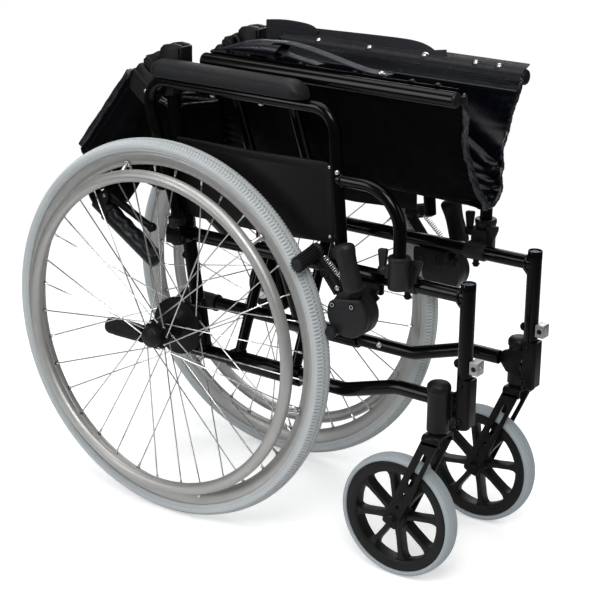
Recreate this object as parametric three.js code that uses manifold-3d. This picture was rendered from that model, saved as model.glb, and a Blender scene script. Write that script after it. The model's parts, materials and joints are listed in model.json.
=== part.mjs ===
// Folding manual wheelchair with drum-braked rear wheels, modelled folded, with its push handles down.
// Millimetres. +Z is up, -Y is the front, +X is the user's left. The origin is on the floor, below the
// middle of the folded chair. Lengths along Y are written from the rear axle line, and the whole model is
// then moved by AXLE_Y. "out" is a distance from the centre plane, and side is -1 for the right and +1 for
// the left.
import * as THREE from 'three';
import { mergeVertices } from 'three/addons/utils/BufferGeometryUtils.js';
import Module from 'manifold-3d';

const wasm = await Module();
wasm.setup();

// Driving dimensions
const AXLE_Y = 112.65;
const GAP = 0.3;
const FRAME_OUT = 97;
const TUBE = 11;
const UPPER_RAIL_Z = 450;
const LOWER_RAIL_Z = 260.6;
const RAIL_REAR = 150;
const FRONT_POST_Y = -504;
const POST_FOOT = [-31, 255];
const POST_BEND = [3, 462];
const HINGE = [34, 714];
const BACK_CORNER = [214, 487];
const GRIP_START = [161, 453];
const GRIP_END = [62, 390];
const HINGE_CLEAR = 30;
const LATCH_Z = 348;
const LATCH_BOLT = 3;

const WHEEL_OUT = 152;
const WHEEL_RADIUS = 305;
const WHEEL_SIDES = 32;
const TYRE_HALF = 17;
const RIM_OUTER = 284.2;
const RIM_INNER = 264;
const HANDRIM_RADIUS = 252;
const HANDRIM_TUBE = 9.5;
const HANDRIM_OFFSET = 30;
const SPOKES = 36;

const CASTER_OUT = 118;
const CASTER_RADIUS = 96;
const CASTER_Y = -415;
const STEM_Y = -475;
const CASTER_SIDES = 24;
const STEM = 6.5;
const FORK_OUTSIDE = 22;
const FORK_INSIDE = 18;
const CROWN_TOP = 242;
const FORK_LEG = [[-489, CROWN_TOP], [-461, CROWN_TOP], [-403, 104], [-403, 86], [-427, 86], [-430, 100]];
const CASTER_RIM_OUTER = 86.6;
const CASTER_RIM_INNER = 70;
const CASTER_SPOKES = 8;
const CASTER_SPOKE_PHASE = -0.19;

const SEAT_RAIL_Z = 727;
const SEAT_RAIL = 12;
const SEAT_FRONT = -471;
const SEAT_REAR = -35;
const CROSS_ARM = 8.5;
const CROSS_A_Y = [-97, -204];
const CROSS_B_Y = [-75, -182];
const PIVOT_Z = (LOWER_RAIL_Z + SEAT_RAIL_Z) / 2;

const ARMREST_OUT = 122;
const ARMREST_TUBE = 9.5;
const ARMREST_TOP = 692;
const ARMREST_LEG_Y = -404;
const SOCKET_SCREW_Z = 472;
const SOCKET_REAR = -387;
const SOCKET_HEIGHT = [452, 496];
const ARMREST_FRONT_BEND = 64;
const LOCK_CENTRE = [-331, 394];
const LOCK_OUTER = 144;
const LOCK_GRIP = [[-345, 443], [-324, 506]];
const LOCK_ARM_PIVOT = [-306, 432];
const LOCK_FOOT = [-266, 480.4];

// Finishes
const finish = (color, roughness, metalness) =>
  new THREE.MeshStandardMaterial({ color, roughness, metalness });
const glossBlack = () => finish(0x0c0c0e, 0.22, 0.3);
const mattBlack = () => finish(0x151517, 0.6, 0);
const rubberBlack = () => finish(0x1b1b1c, 0.75, 0);
const nylonBlack = () => finish(0x101116, 0.7, 0);
const vinyl = () => finish(0x2b2c2f, 0.55, 0);
const tyreGrey = () => finish(0xa9adae, 0.8, 0);
const casterGrey = () => finish(0xa7b0b4, 0.75, 0);
const satinAlloy = () => finish(0xd0d1d2, 0.38, 0.85);
const steel = () => finish(0xb9bbbd, 0.3, 1);

// Solids: every closed geometry can be joined or cut
function solidOf(geometry) {
  const bare = geometry.index ? geometry.toNonIndexed() : geometry.clone();
  bare.deleteAttribute('normal');
  bare.deleteAttribute('uv');
  const joined = mergeVertices(bare, 1e-4);
  const corners = Array.from(joined.index.array);
  const kept = [];
  for (let i = 0; i < corners.length; i += 3) {
    const [a, b, c] = corners.slice(i, i + 3);
    if (a !== b && b !== c && c !== a) kept.push(a, b, c);
  }
  const vertProperties = new Float32Array(joined.attributes.position.array);
  return new wasm.Manifold(new wasm.Mesh({ numProp: 3, vertProperties, triVerts: new Uint32Array(kept) }));
}

function geometryOf(solid) {
  const mesh = solid.getMesh();
  const geometry = new THREE.BufferGeometry();
  geometry.setAttribute('position', new THREE.BufferAttribute(mesh.vertProperties, 3));
  geometry.setIndex(new THREE.BufferAttribute(mesh.triVerts, 1));
  geometry.computeVertexNormals();
  return geometry;
}

const join = (...pieces) => geometryOf(pieces.map(solidOf).reduce((a, b) => a.add(b)));
const cut = (piece, ...tools) =>
  geometryOf(tools.map(solidOf).reduce((a, b) => a.subtract(b), solidOf(piece)));

// A bent tube's centre line: straight runs joined by round bends, sampled only where it turns.
class BentLine extends THREE.Curve {
  constructor(corners, bendRadius, step = Math.PI / 7) {
    super();
    this.samples = [corners[0].clone()];
    for (let i = 1; i < corners.length - 1; i += 1) this.addBend(corners, i, bendRadius, step);
    this.samples.push(corners[corners.length - 1].clone());
  }

  addBend(corners, i, radius, step) {
    const into = corners[i].clone().sub(corners[i - 1]).normalize();
    const away = corners[i + 1].clone().sub(corners[i]).normalize();
    const turn = into.angleTo(away);
    const setback = radius * Math.tan(turn / 2);
    const start = corners[i].clone().addScaledVector(into, -setback);
    const normal = away.clone().addScaledVector(into, -away.dot(into)).normalize();
    const parts = Math.max(1, Math.ceil(turn / step));
    for (let k = 0; k <= parts; k += 1) {
      const angle = (turn * k) / parts;
      const point = start.clone().addScaledVector(into, radius * Math.sin(angle));
      this.samples.push(point.addScaledVector(normal, radius * (1 - Math.cos(angle))));
    }
  }

  get steps() {
    return this.samples.length - 1;
  }

  getPoint(t, target = new THREE.Vector3()) {
    const place = Math.min(t * this.steps, this.steps);
    const i = Math.min(Math.floor(place), this.steps - 1);
    return target.copy(this.samples[i]).lerp(this.samples[i + 1], place - i);
  }

  getPointAt(u, target) {
    return this.getPoint(u, target);
  }

  getTangentAt(u, target = new THREE.Vector3()) {
    const i = Math.round(u * this.steps);
    const before = this.samples[Math.max(i - 1, 0)];
    const here = this.samples[i];
    const after = this.samples[Math.min(i + 1, this.steps)];
    const arriving = here.clone().sub(before).normalize();
    return target.copy(after).sub(here).normalize().add(arriving).normalize();
  }
}

function polygon(radius, sides) {
  const shape = new THREE.Shape();
  for (let i = 0; i < sides; i += 1) {
    const angle = (2 * Math.PI * i) / sides;
    if (i === 0) shape.moveTo(radius, 0);
    else shape.lineTo(radius * Math.cos(angle), radius * Math.sin(angle));
  }
  return shape;
}

function tube(corners, radius, bendRadius = 30, sides = 8) {
  const extrudePath = new BentLine(corners, bendRadius);
  return new THREE.ExtrudeGeometry(polygon(radius, sides), { steps: extrudePath.steps, extrudePath });
}

function rod(from, to, radius, sides = 8) {
  const along = to.clone().sub(from);
  const geometry = new THREE.CylinderGeometry(radius, radius, along.length(), sides);
  const up = new THREE.Vector3(0, 1, 0);
  geometry.applyQuaternion(new THREE.Quaternion().setFromUnitVectors(up, along.normalize()));
  return geometry.translate(...from.clone().add(to).multiplyScalar(0.5).toArray());
}

// A closed outline of [radius, x] points turned about the X axis
function turned(outline, sides) {
  const points = outline.map(([r, x]) => new THREE.Vector2(r, x));
  if (THREE.ShapeUtils.isClockWise(points)) points.reverse();
  points.push(points[0].clone());
  return new THREE.LatheGeometry(points, sides).rotateZ(-Math.PI / 2);
}

// The radius of a faceted bore whose flats still clear a round bar of the given radius
const boreFor = (radius, sides = 8) => (radius + GAP) / Math.cos(Math.PI / sides);
const at = (side, out, y, z) => new THREE.Vector3(side * out, y, z);
const crosswise = (side, outA, outB, [y, z], radius, sides = 12) =>
  rod(at(side, outA, y, z), at(side, outB, y, z), radius, sides);

// A block between two opposite corners, given as [out, y, z]
function block(side, [outA, yA, zA], [outB, yB, zB]) {
  const geometry = new THREE.BoxGeometry(outB - outA, yB - yA, zB - zA);
  return geometry.translate((side * (outA + outB)) / 2, (yA + yB) / 2, (zA + zB) / 2);
}

// A flat plate cut from an outline of [y, z] points, between two distances from the centre plane
function plate(side, outline, outA, outB) {
  const shape = new THREE.Shape(outline.map(([y, z]) => new THREE.Vector2(y, z)));
  const geometry = new THREE.ExtrudeGeometry(shape, { depth: outB - outA, bevelEnabled: false });
  geometry.applyMatrix4(new THREE.Matrix4().set(0, 0, 1, 0, 1, 0, 0, 0, 0, 1, 0, 0, 0, 0, 0, 1));
  return geometry.translate(side > 0 ? outA : -outB, 0, 0);
}

const unit = ([ay, az], [by, bz]) => {
  const length = Math.hypot(by - ay, bz - az);
  return [(by - ay) / length, (bz - az) / length];
};
const step = ([y, z], [dy, dz], along, aside = 0) =>
  [y + dy * along - dz * aside, z + dz * along + dy * aside];

// A link plate of the given half width from one [y, z] point to another
function link(side, from, to, half, outA, outB) {
  const d = unit(from, to);
  const far = Math.hypot(to[0] - from[0], to[1] - from[1]) + half * 0.7;
  const corners = [[-half * 0.7, -half], [far, -half], [far, half], [-half * 0.7, half]];
  return plate(side, corners.map(([along, aside]) => step(from, d, along, aside)), outA, outB);
}

const model = new THREE.Group();
const suffix = (side) => (side < 0 ? 'right' : 'left');

function add(parent, name, geometry, material, side = 0) {
  const mesh = new THREE.Mesh(geometry, material);
  mesh.name = side ? `${name}_${suffix(side)}` : name;
  parent.add(mesh);
  return mesh;
}

// Side frame: one weldment of bent tubes, plates and the rear armrest socket
const rearPostLine = (side) => {
  const top = step(HINGE, unit(POST_BEND, HINGE), -HINGE_CLEAR);
  return [POST_FOOT, POST_BEND, top].map(([y, z]) => at(side, FRAME_OUT, y, z));
};
const lowerRailLine = (side) => [
  at(side, FRAME_OUT, RAIL_REAR, LOWER_RAIL_Z), at(side, FRAME_OUT, -300, LOWER_RAIL_Z),
  at(side, FRAME_OUT + 2, -392, 288), at(side, FRAME_OUT + 3, -452, 288),
];

function frameTubes(side) {
  return [
    tube([at(side, FRAME_OUT, FRONT_POST_Y, 250), at(side, FRAME_OUT, FRONT_POST_Y, 470.6)], TUBE),
    tube([at(side, FRAME_OUT, FRONT_POST_Y, UPPER_RAIL_Z), at(side, FRAME_OUT, 0, UPPER_RAIL_Z)], TUBE),
    tube(lowerRailLine(side), TUBE, 60),
    tube(rearPostLine(side), TUBE, 80),
  ];
}

function backHingePlates(side) {
  const post = unit(POST_BEND, HINGE);
  const foot = step(HINGE, post, -HINGE_CLEAR - 14);
  return [
    link(side, HINGE, foot, 9, 84.5, 92.5),
    link(side, HINGE, foot, 9, 101.5, 109.5),
    crosswise(side, 84.5, 109.5, HINGE, 4),
  ];
}

const AXLE_PLATE = [[-42, 268], [14, 282], [20, 305], [12, 328], [-30, 352]];
const GUSSET = [[-500, 446], [-460, 446], [-500, 408]];

function sideFrame(side) {
  const axlePlate = plate(side, AXLE_PLATE, FRAME_OUT - 4, FRAME_OUT + 4);
  const gusset = plate(side, GUSSET, FRAME_OUT - 2.5, FRAME_OUT + 2.5);
  const rearSocket = block(side, [100, -12, 440], [133, 18, 470]);
  const welded = join(...frameTubes(side), axlePlate, gusset, rearSocket, ...backHingePlates(side));
  return cut(
    welded,
    crosswise(side, 80, 120, [0, WHEEL_RADIUS], boreFor(6, 12)),
    rod(at(side, ARMREST_OUT, 3, 430), at(side, ARMREST_OUT, 3, 480), boreFor(ARMREST_TUBE)),
    rod(at(side, FRAME_OUT, -530, LATCH_Z), at(side, FRAME_OUT, -480, LATCH_Z), boreFor(LATCH_BOLT)),
  );
}

// Spring-pin block for a footrest hanger, bolted through the front post
function latchBlock(side) {
  const face = FRONT_POST_Y - TUBE - GAP;
  const half = 9;
  const on = (y) => at(side, FRAME_OUT, y, LATCH_Z);
  return join(
    block(side, [FRAME_OUT - half, face - 15, LATCH_Z - 10], [FRAME_OUT + half, face, LATCH_Z + 10]),
    rod(on(face - 4), on(FRONT_POST_Y + 16), LATCH_BOLT),
    rod(on(FRONT_POST_Y + TUBE + GAP), on(FRONT_POST_Y + 19), 6.5, 6),
  );
}

function rearTip(side) {
  const on = (y) => at(side, FRAME_OUT, y, LOWER_RAIL_Z);
  return cut(rod(on(96), on(171), 14, 12), rod(on(90), on(RAIL_REAR + 0.6), boreFor(TUBE)));
}

// Rear wheel parts, about the wheel's own centre, outboard along side
function tyre(halfWidth, inner, outer, sides) {
  const wall = inner + (outer - inner) * 0.5;
  const edge = outer - (outer - inner) * 0.2;
  const outline = [
    [inner, -halfWidth * 0.8], [inner, halfWidth * 0.8], [wall, halfWidth], [edge, halfWidth * 0.82],
    [outer, halfWidth * 0.3], [outer, -halfWidth * 0.3], [edge, -halfWidth * 0.82], [wall, -halfWidth],
  ];
  return turned(outline, sides);
}

const rearRim = () => turned([
  [RIM_OUTER, -12], [RIM_OUTER, 12], [274, 12], [RIM_INNER, 6], [RIM_INNER, -6], [274, -12],
], WHEEL_SIDES);

const HUB = [
  [6.4, -34], [45, -34], [45, -22], [20, -22], [16, -16], [16, 20], [24, 22], [24, 28], [15, 28], [15, 38],
  [6.5, 38],
];
const AXLE_CAP = [[0, 38.4], [17, 38.4], [17, 42], [11, 46.5], [0, 46.5]];
const outboard = (side, outline) => outline.map(([r, x]) => [r, side * x]);

function hubAndSpokes(side) {
  const hub = turned(outboard(side, HUB), 18);
  const spokes = [];
  for (let i = 0; i < SPOKES; i += 1) {
    const angle = (2 * Math.PI * (i + 0.5)) / SPOKES;
    const [flange, x] = i % 2 ? [21, 25] : [42, -28];
    const from = new THREE.Vector3(side * x, flange * Math.cos(angle), flange * Math.sin(angle));
    const tip = RIM_INNER * Math.cos(Math.PI / WHEEL_SIDES) - 1;
    spokes.push(rod(from, new THREE.Vector3(0, tip * Math.cos(angle), tip * Math.sin(angle)), 1.2, 3));
  }
  return join(hub, ...spokes);
}

function handrim(side) {
  const section = [];
  for (let i = 0; i < 6; i += 1) {
    const angle = (2 * Math.PI * (i + 0.5)) / 6;
    section.push([HANDRIM_RADIUS + HANDRIM_TUBE * Math.cos(angle),
      side * HANDRIM_OFFSET + HANDRIM_TUBE * Math.sin(angle)]);
  }
  const standoffs = [];
  for (let i = 0; i < 6; i += 1) {
    const angle = (Math.PI * (i + 0.25)) / 3;
    const from = new THREE.Vector3(side * 27, 254 * Math.cos(angle), 254 * Math.sin(angle));
    const to = new THREE.Vector3(side * 16.6, 268 * Math.cos(angle), 268 * Math.sin(angle));
    standoffs.push(rod(from, to, 3.5, 5));
  }
  return join(turned(section, WHEEL_SIDES), ...standoffs);
}

// Axle bolt through the frame's plate and the hub, with its nut inside and round cap outside
function rearAxle(side) {
  const cap = turned(outboard(side, AXLE_CAP), 16);
  const shaft = rod(new THREE.Vector3(side * -66, 0, 0), new THREE.Vector3(side * 40, 0, 0), 6, 12);
  const nut = rod(new THREE.Vector3(side * -68, 0, 0), new THREE.Vector3(side * -59.4, 0, 0), 11, 6);
  return join(cap, shaft, nut);
}

function rearWheel(side) {
  const wheel = new THREE.Group();
  wheel.position.set(side * WHEEL_OUT, 0, WHEEL_RADIUS);
  add(wheel, 'rear_tyre', tyre(TYRE_HALF, RIM_OUTER + 0.6, WHEEL_RADIUS, WHEEL_SIDES), tyreGrey(), side);
  add(wheel, 'rear_rim', rearRim(), satinAlloy(), side);
  add(wheel, 'rear_hub_and_spokes', hubAndSpokes(side), steel(), side);
  add(wheel, 'handrim', handrim(side), satinAlloy(), side);
  add(wheel, 'rear_axle', rearAxle(side), mattBlack(), side);
  return wheel;
}

// Caster: bearing housing on the frame, fork, wheel and axle bolt
function casterHousing(side) {
  const on = (z) => at(side, CASTER_OUT, STEM_Y, z);
  const inPost = (z) => at(side, FRAME_OUT, FRONT_POST_Y, z);
  const sleeve = rod(on(246), on(314), 16, 14);
  const dome = rod(on(313), on(322), 12, 14);
  const bracket = block(side, [94, -508, 268], [120, -452, 306]);
  const bore = rod(on(240), on(300), boreFor(STEM, 12), 12);
  const post = rod(inPost(240), inPost(330), boreFor(TUBE));
  return cut(join(sleeve, dome, bracket), bore, post, tube(lowerRailLine(side), boreFor(TUBE), 60));
}

function casterFork(side) {
  const low = [CASTER_OUT - FORK_OUTSIDE, -489, CROWN_TOP - 6];
  const crown = block(side, low, [CASTER_OUT + FORK_OUTSIDE, -461, CROWN_TOP]);
  const stem = rod(at(side, CASTER_OUT, STEM_Y, CROWN_TOP - 4), at(side, CASTER_OUT, STEM_Y, 298), STEM, 12);
  const inner = plate(side, FORK_LEG, CASTER_OUT - FORK_OUTSIDE, CASTER_OUT - FORK_INSIDE);
  const outer = plate(side, FORK_LEG, CASTER_OUT + FORK_INSIDE, CASTER_OUT + FORK_OUTSIDE);
  const axle = [CASTER_Y, CASTER_RADIUS];
  const holes = crosswise(side, CASTER_OUT - 30, CASTER_OUT + 30, axle, boreFor(4, 12));
  return cut(join(crown, stem, inner, outer), holes);
}

function casterRim() {
  const [outer, inner] = [CASTER_RIM_OUTER, CASTER_RIM_INNER];
  const ring = turned([[outer, -11], [outer, 11], [inner, 9], [inner, -9]], CASTER_SIDES);
  const hub = turned([[4.6, -16.5], [17, -16.5], [17, 16.5], [4.6, 16.5]], 14);
  const arms = [];
  for (let i = 0; i < CASTER_SPOKES; i += 1) {
    const arm = new THREE.BoxGeometry(17, 6, 58).translate(0, 0, 43);
    arms.push(arm.rotateX((2 * Math.PI * (i + CASTER_SPOKE_PHASE)) / CASTER_SPOKES));
  }
  return join(ring, hub, ...arms);
}

function casterAxle() {
  return join(
    rod(new THREE.Vector3(-26, 0, 0), new THREE.Vector3(26, 0, 0), 4),
    rod(new THREE.Vector3(-27, 0, 0), new THREE.Vector3(-22.4, 0, 0), 7.5, 6),
    rod(new THREE.Vector3(22.4, 0, 0), new THREE.Vector3(27, 0, 0), 7.5, 6),
  );
}

function casterWheel(side) {
  const wheel = new THREE.Group();
  wheel.position.set(side * CASTER_OUT, CASTER_Y, CASTER_RADIUS);
  add(wheel, 'caster_rim', casterRim(), mattBlack(), side);
  const ring = tyre(14, CASTER_RIM_OUTER + 0.4, CASTER_RADIUS, CASTER_SIDES);
  add(wheel, 'caster_tyre', ring, casterGrey(), side);
  add(wheel, 'caster_axle', casterAxle(), steel(), side);
  return wheel;
}

const upperRailBore = (side, from, to) =>
  rod(at(side, FRAME_OUT, from, UPPER_RAIL_Z), at(side, FRAME_OUT, to, UPPER_RAIL_Z), boreFor(TUBE));

// Wheel lock: clamped body, hand lever, and the arm whose roller foot presses on the tyre
function lockBody(side) {
  const clamp = block(side, [84, -345, 400], [125, -303, 464]);
  const body = crosswise(side, 112, 136, LOCK_CENTRE, 31, 18);
  const armPin = crosswise(side, 122, 134, LOCK_ARM_PIVOT, 4);
  const leverPin = crosswise(side, 134, LOCK_OUTER, LOCK_CENTRE, 5);
  const boss = block(side, [112, -312, 424], [125, -298, 440]);
  const rail = upperRailBore(side, -360, -290);
  return cut(join(clamp, body, armPin, leverPin, boss), rail);
}

function lockLever(side) {
  const [low, high] = LOCK_GRIP.map(([y, z]) => at(side, 148, y, z));
  const blade = link(side, LOCK_CENTRE, LOCK_GRIP[0], 8, 136.4, 141.5);
  return cut(join(blade, rod(low, high, 14, 10)), crosswise(side, 130, 150, LOCK_CENTRE, boreFor(5, 12)));
}

function lockArm(side) {
  const blade = link(side, LOCK_ARM_PIVOT, LOCK_FOOT, 7.5, 126, 131);
  const foot = crosswise(side, 126, 172, LOCK_FOOT, 12, 14);
  return cut(join(blade, foot), crosswise(side, 120, 140, LOCK_ARM_PIVOT, boreFor(4, 12)));
}

class Coil extends THREE.Curve {
  constructor(from, to, radius, turns) {
    super();
    Object.assign(this, { from, radius, turns, along: to.clone().sub(from) });
  }

  getPoint(t, target = new THREE.Vector3()) {
    const angle = 2 * Math.PI * this.turns * t;
    const across = new THREE.Vector3(1, 0, 0);
    const third = across.clone().cross(this.along).normalize();
    target.copy(this.from).addScaledVector(this.along, t);
    target.addScaledVector(across, this.radius * Math.cos(angle));
    return target.addScaledVector(third, this.radius * Math.sin(angle));
  }
}

function lockSpring(side) {
  const extrudePath = new Coil(at(side, 134.7, -303, 446), at(side, 134.7, -283, 470), 2.2, 4);
  return new THREE.ExtrudeGeometry(polygon(0.7, 4), { steps: 28, extrudePath });
}

// Armrest: bent tube frame that stands in two sockets, pad and skirt guard
function armrestFrame(side) {
  const on = ([y, z]) => at(side, ARMREST_OUT, y, z);
  const loop = [[3, 438], [3, 492], [66, ARMREST_TOP], [-286, ARMREST_TOP], [-305, 484]].map(on);
  const branch = [[-292, 592], [ARMREST_LEG_Y, 592], [ARMREST_LEG_Y, SOCKET_HEIGHT[0] + 3]].map(on);
  return join(tube(loop, ARMREST_TUBE, 34), tube(branch, ARMREST_TUBE, ARMREST_FRONT_BEND));
}

function armrestPad(side) {
  const shape = new THREE.Shape();
  const [half, front, rear, round] = [20, -247, 38, 14];
  shape.moveTo(-half, front + round);
  shape.absarc(-half + round, front + round, round, Math.PI, 1.5 * Math.PI);
  shape.absarc(half - round, front + round, round, 1.5 * Math.PI, 2 * Math.PI);
  shape.absarc(half - round, rear - round, round, 0, Math.PI / 2);
  shape.absarc(-half + round, rear - round, round, Math.PI / 2, Math.PI);
  const geometry = new THREE.ExtrudeGeometry(shape, { depth: 25, bevelEnabled: false, curveSegments: 4 });
  return geometry.translate(side * 131, 0, ARMREST_TOP + ARMREST_TUBE + 0.7);
}

const skirtGuard = (side) => plate(side, [
  [-287, 491], [-273, 611], [-140, 607], [20, 607], [6, 500], [-20, 484], [-174, 484],
], 110.2, 112.2);

const onScrew = (side, y) => at(side, ARMREST_OUT, y, SOCKET_SCREW_Z);

function armrestSocket(side) {
  const [foot, top] = SOCKET_HEIGHT;
  const body = block(side, [109.9, -421, foot], [137, SOCKET_REAR, top]);
  const clamp = block(side, [84, -418, 436], [112, -390, 464]);
  const leg = (z) => at(side, ARMREST_OUT, ARMREST_LEG_Y, z);
  const bore = rod(leg(foot - 5), leg(top + 5), boreFor(ARMREST_TUBE));
  const rail = upperRailBore(side, -430, -380);
  const thread = rod(onScrew(side, SOCKET_REAR - 8), onScrew(side, SOCKET_REAR + 5), boreFor(3, 12), 12);
  return cut(join(body, clamp), bore, rail, thread);
}

function socketScrew(side) {
  const shank = rod(onScrew(side, SOCKET_REAR - 5), onScrew(side, SOCKET_REAR + 4), 3);
  const knob = rod(onScrew(side, SOCKET_REAR + 1), onScrew(side, SOCKET_REAR + 9), 7, 10);
  const low = [ARMREST_OUT - 4, SOCKET_REAR + 3, SOCKET_SCREW_Z];
  const wing = block(side, low, [ARMREST_OUT + 4, SOCKET_REAR + 8, SOCKET_SCREW_Z + 28]);
  return join(shank, knob, wing);
}

// Folding back: upper cane, hand grip and the attendant's brake lever
const CANE = unit(HINGE, BACK_CORNER);
const HANDLE = unit(BACK_CORNER, GRIP_END);
const LEVER_PIVOT = step(BACK_CORNER, HANDLE, 42, -24);

function backCane(side) {
  const line = [step(HINGE, CANE, HINGE_CLEAR), BACK_CORNER, step(GRIP_END, HANDLE, -6)];
  const knuckle = link(side, HINGE, step(HINGE, CANE, HINGE_CLEAR + 12), 9, 93, 101);
  const lug = link(side, step(BACK_CORNER, HANDLE, 42), LEVER_PIVOT, 7, 102.5, 107.5);
  const pin = crosswise(side, 92, 104, LEVER_PIVOT, 3);
  const path = line.map(([y, z]) => at(side, FRAME_OUT, y, z));
  return cut(join(tube(path, TUBE, 34), knuckle, lug, pin), crosswise(side, 90, 104, HINGE, boreFor(4, 12)));
}

function pushGrip(side) {
  const [from, to] = [GRIP_START, GRIP_END].map(([y, z]) => at(side, FRAME_OUT, y, z));
  const along = to.clone().sub(from).normalize();
  const [open, shut] = [from.clone().addScaledVector(along, -5), to.clone().addScaledVector(along, -5.6)];
  const bore = rod(open, shut, boreFor(TUBE));
  return cut(rod(from, to, 15.5, 14), bore);
}

function brakeLever(side) {
  const across = (along, aside) => step(LEVER_PIVOT, HANDLE, along, -aside);
  const outline = [
    across(-8, -5), across(12, -5), across(98, 12), across(100, 20), across(10, 8), across(-8, 6),
  ];
  return cut(plate(side, outline, 92, 102), crosswise(side, 88, 106, LEVER_PIVOT, boreFor(3, 12)));
}

// Cross frame: a sleeve turning on one lower rail, two arms, and the seat rail over the other side
function crossFrame(side, stations) {
  const alongRail = (from, to, radius, sides) =>
    rod(at(side, FRAME_OUT, from, LOWER_RAIL_Z), at(side, FRAME_OUT, to, LOWER_RAIL_Z), radius, sides);
  const [front, rear] = [stations[1] - 14, stations[0] + 14];
  const arms = stations.map((y) =>
    rod(at(side, FRAME_OUT - 4.6, y, LOWER_RAIL_Z + 11), at(-side, FRAME_OUT, y, SEAT_RAIL_Z), CROSS_ARM));
  const over = (y) => at(-side, FRAME_OUT, y, SEAT_RAIL_Z);
  const rail = rod(over(SEAT_FRONT), over(SEAT_REAR), SEAT_RAIL, 12);
  const boltHole = rod(at(0, 0, -230, PIVOT_Z), at(0, 0, -50, PIVOT_Z), boreFor(4));
  const sleeve = alongRail(front, rear, 15, 14);
  return cut(join(sleeve, ...arms, rail), alongRail(-260, -40, boreFor(TUBE), 8), boltHole);
}

function centreBolt(index) {
  const [front, rear] = [CROSS_A_Y[index] - CROSS_ARM - GAP, CROSS_B_Y[index] + CROSS_ARM + GAP];
  return join(
    rod(at(0, 0, front - 5, PIVOT_Z), at(0, 0, rear + 5, PIVOT_Z), 4),
    rod(at(0, 0, front - 6, PIVOT_Z), at(0, 0, front, PIVOT_Z), 7.5, 6),
    rod(at(0, 0, rear, PIVOT_Z), at(0, 0, rear + 6, PIVOT_Z), 7.5, 6),
  );
}

// Upholstery, as plain panels. Each is laid out in the plane across the tube that it hangs from: u points
// inward from the tube and v away from it.
const SEAT_HANG = THREE.MathUtils.degToRad(24);
const SEAT_PANEL = 193;

function seatPanel(side) {
  const panel = new THREE.BoxGeometry(SEAT_PANEL + 6, 410, 2.5).translate(SEAT_PANEL / 2 - 3, 0, 13.5);
  panel.rotateY(Math.PI / 2 - SEAT_HANG);
  if (side > 0) panel.rotateZ(Math.PI);
  return panel.translate(side * FRAME_OUT, -265, SEAT_RAIL_Z);
}

// A panel between two stations along a tube in the side plane; normal is the v direction, in [y, z]
function backPanel(side, origin, along, normal, [from, to], [u0, v0], [u1, v1], trim) {
  const full = Math.hypot(u1 - u0, v1 - v0);
  const geometry = new THREE.BoxGeometry(full - trim, 2.5, to - from);
  geometry.translate((full - trim) / 2, 0, (from + to) / 2);
  geometry.rotateZ(Math.atan2(v1 - v0, u1 - u0)).translate(u0, v0, 0);
  const inward = new THREE.Vector3(-side, 0, 0);
  const [v, w] = [normal, along].map((d) => new THREE.Vector3(0, ...d));
  const basis = new THREE.Matrix4().makeBasis(inward, v, w);
  const flips = basis.determinant() < 0;
  geometry.applyMatrix4(basis).translate(side * FRAME_OUT, ...origin);
  if (flips) reverseFaces(geometry);
  return geometry;
}

function reverseFaces(geometry) {
  const corners = geometry.index.array;
  for (let i = 0; i < corners.length; i += 3) [corners[i], corners[i + 1]] = [corners[i + 1], corners[i]];
}

function lowerBack(side) {
  const post = unit(POST_BEND, HINGE);
  const forward = [-post[1], post[0]];
  return backPanel(side, POST_BEND, post, forward, [129, 224], [48, 50], [FRAME_OUT, -100.7], 10);
}

function upperBack(side) {
  const upBack = [-CANE[1], CANE[0]];
  return backPanel(side, HINGE, CANE, upBack, [42, 268], [48, -63], [FRAME_OUT, 77.2], 10);
}

function buildSide(side) {
  const assembly = new THREE.Group();
  add(assembly, 'side_frame', sideFrame(side), glossBlack(), side);
  add(assembly, 'latch_block', latchBlock(side), steel(), side);
  add(assembly, 'rear_tip', rearTip(side), rubberBlack(), side);
  assembly.add(rearWheel(side));
  add(assembly, 'caster_housing', casterHousing(side), mattBlack(), side);
  add(assembly, 'caster_fork', casterFork(side), mattBlack(), side);
  assembly.add(casterWheel(side));
  add(assembly, 'lock_body', lockBody(side), mattBlack(), side);
  add(assembly, 'lock_lever', lockLever(side), mattBlack(), side);
  add(assembly, 'lock_arm', lockArm(side), mattBlack(), side);
  add(assembly, 'lock_spring', lockSpring(side), steel(), side);
  add(assembly, 'armrest_frame', armrestFrame(side), glossBlack(), side);
  add(assembly, 'armrest_pad', armrestPad(side), vinyl(), side);
  add(assembly, 'skirt_guard', skirtGuard(side), mattBlack(), side);
  add(assembly, 'armrest_socket', armrestSocket(side), mattBlack(), side);
  add(assembly, 'socket_screw', socketScrew(side), mattBlack(), side);
  add(assembly, 'back_cane', backCane(side), glossBlack(), side);
  add(assembly, 'push_grip', pushGrip(side), rubberBlack(), side);
  add(assembly, 'brake_lever', brakeLever(side), mattBlack(), side);
  add(assembly, 'seat_panel', seatPanel(side), nylonBlack(), side);
  add(assembly, 'lower_back', lowerBack(side), nylonBlack(), side);
  add(assembly, 'upper_back', upperBack(side), nylonBlack(), side);
  return assembly;
}

model.add(buildSide(-1), buildSide(1));
add(model, 'cross_frame_a', crossFrame(-1, CROSS_A_Y), glossBlack());
add(model, 'cross_frame_b', crossFrame(1, CROSS_B_Y), glossBlack());
add(model, 'centre_bolt_rear', centreBolt(0), steel());
add(model, 'centre_bolt_front', centreBolt(1), steel());
model.position.y = AXLE_Y;

export default model;
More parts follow.
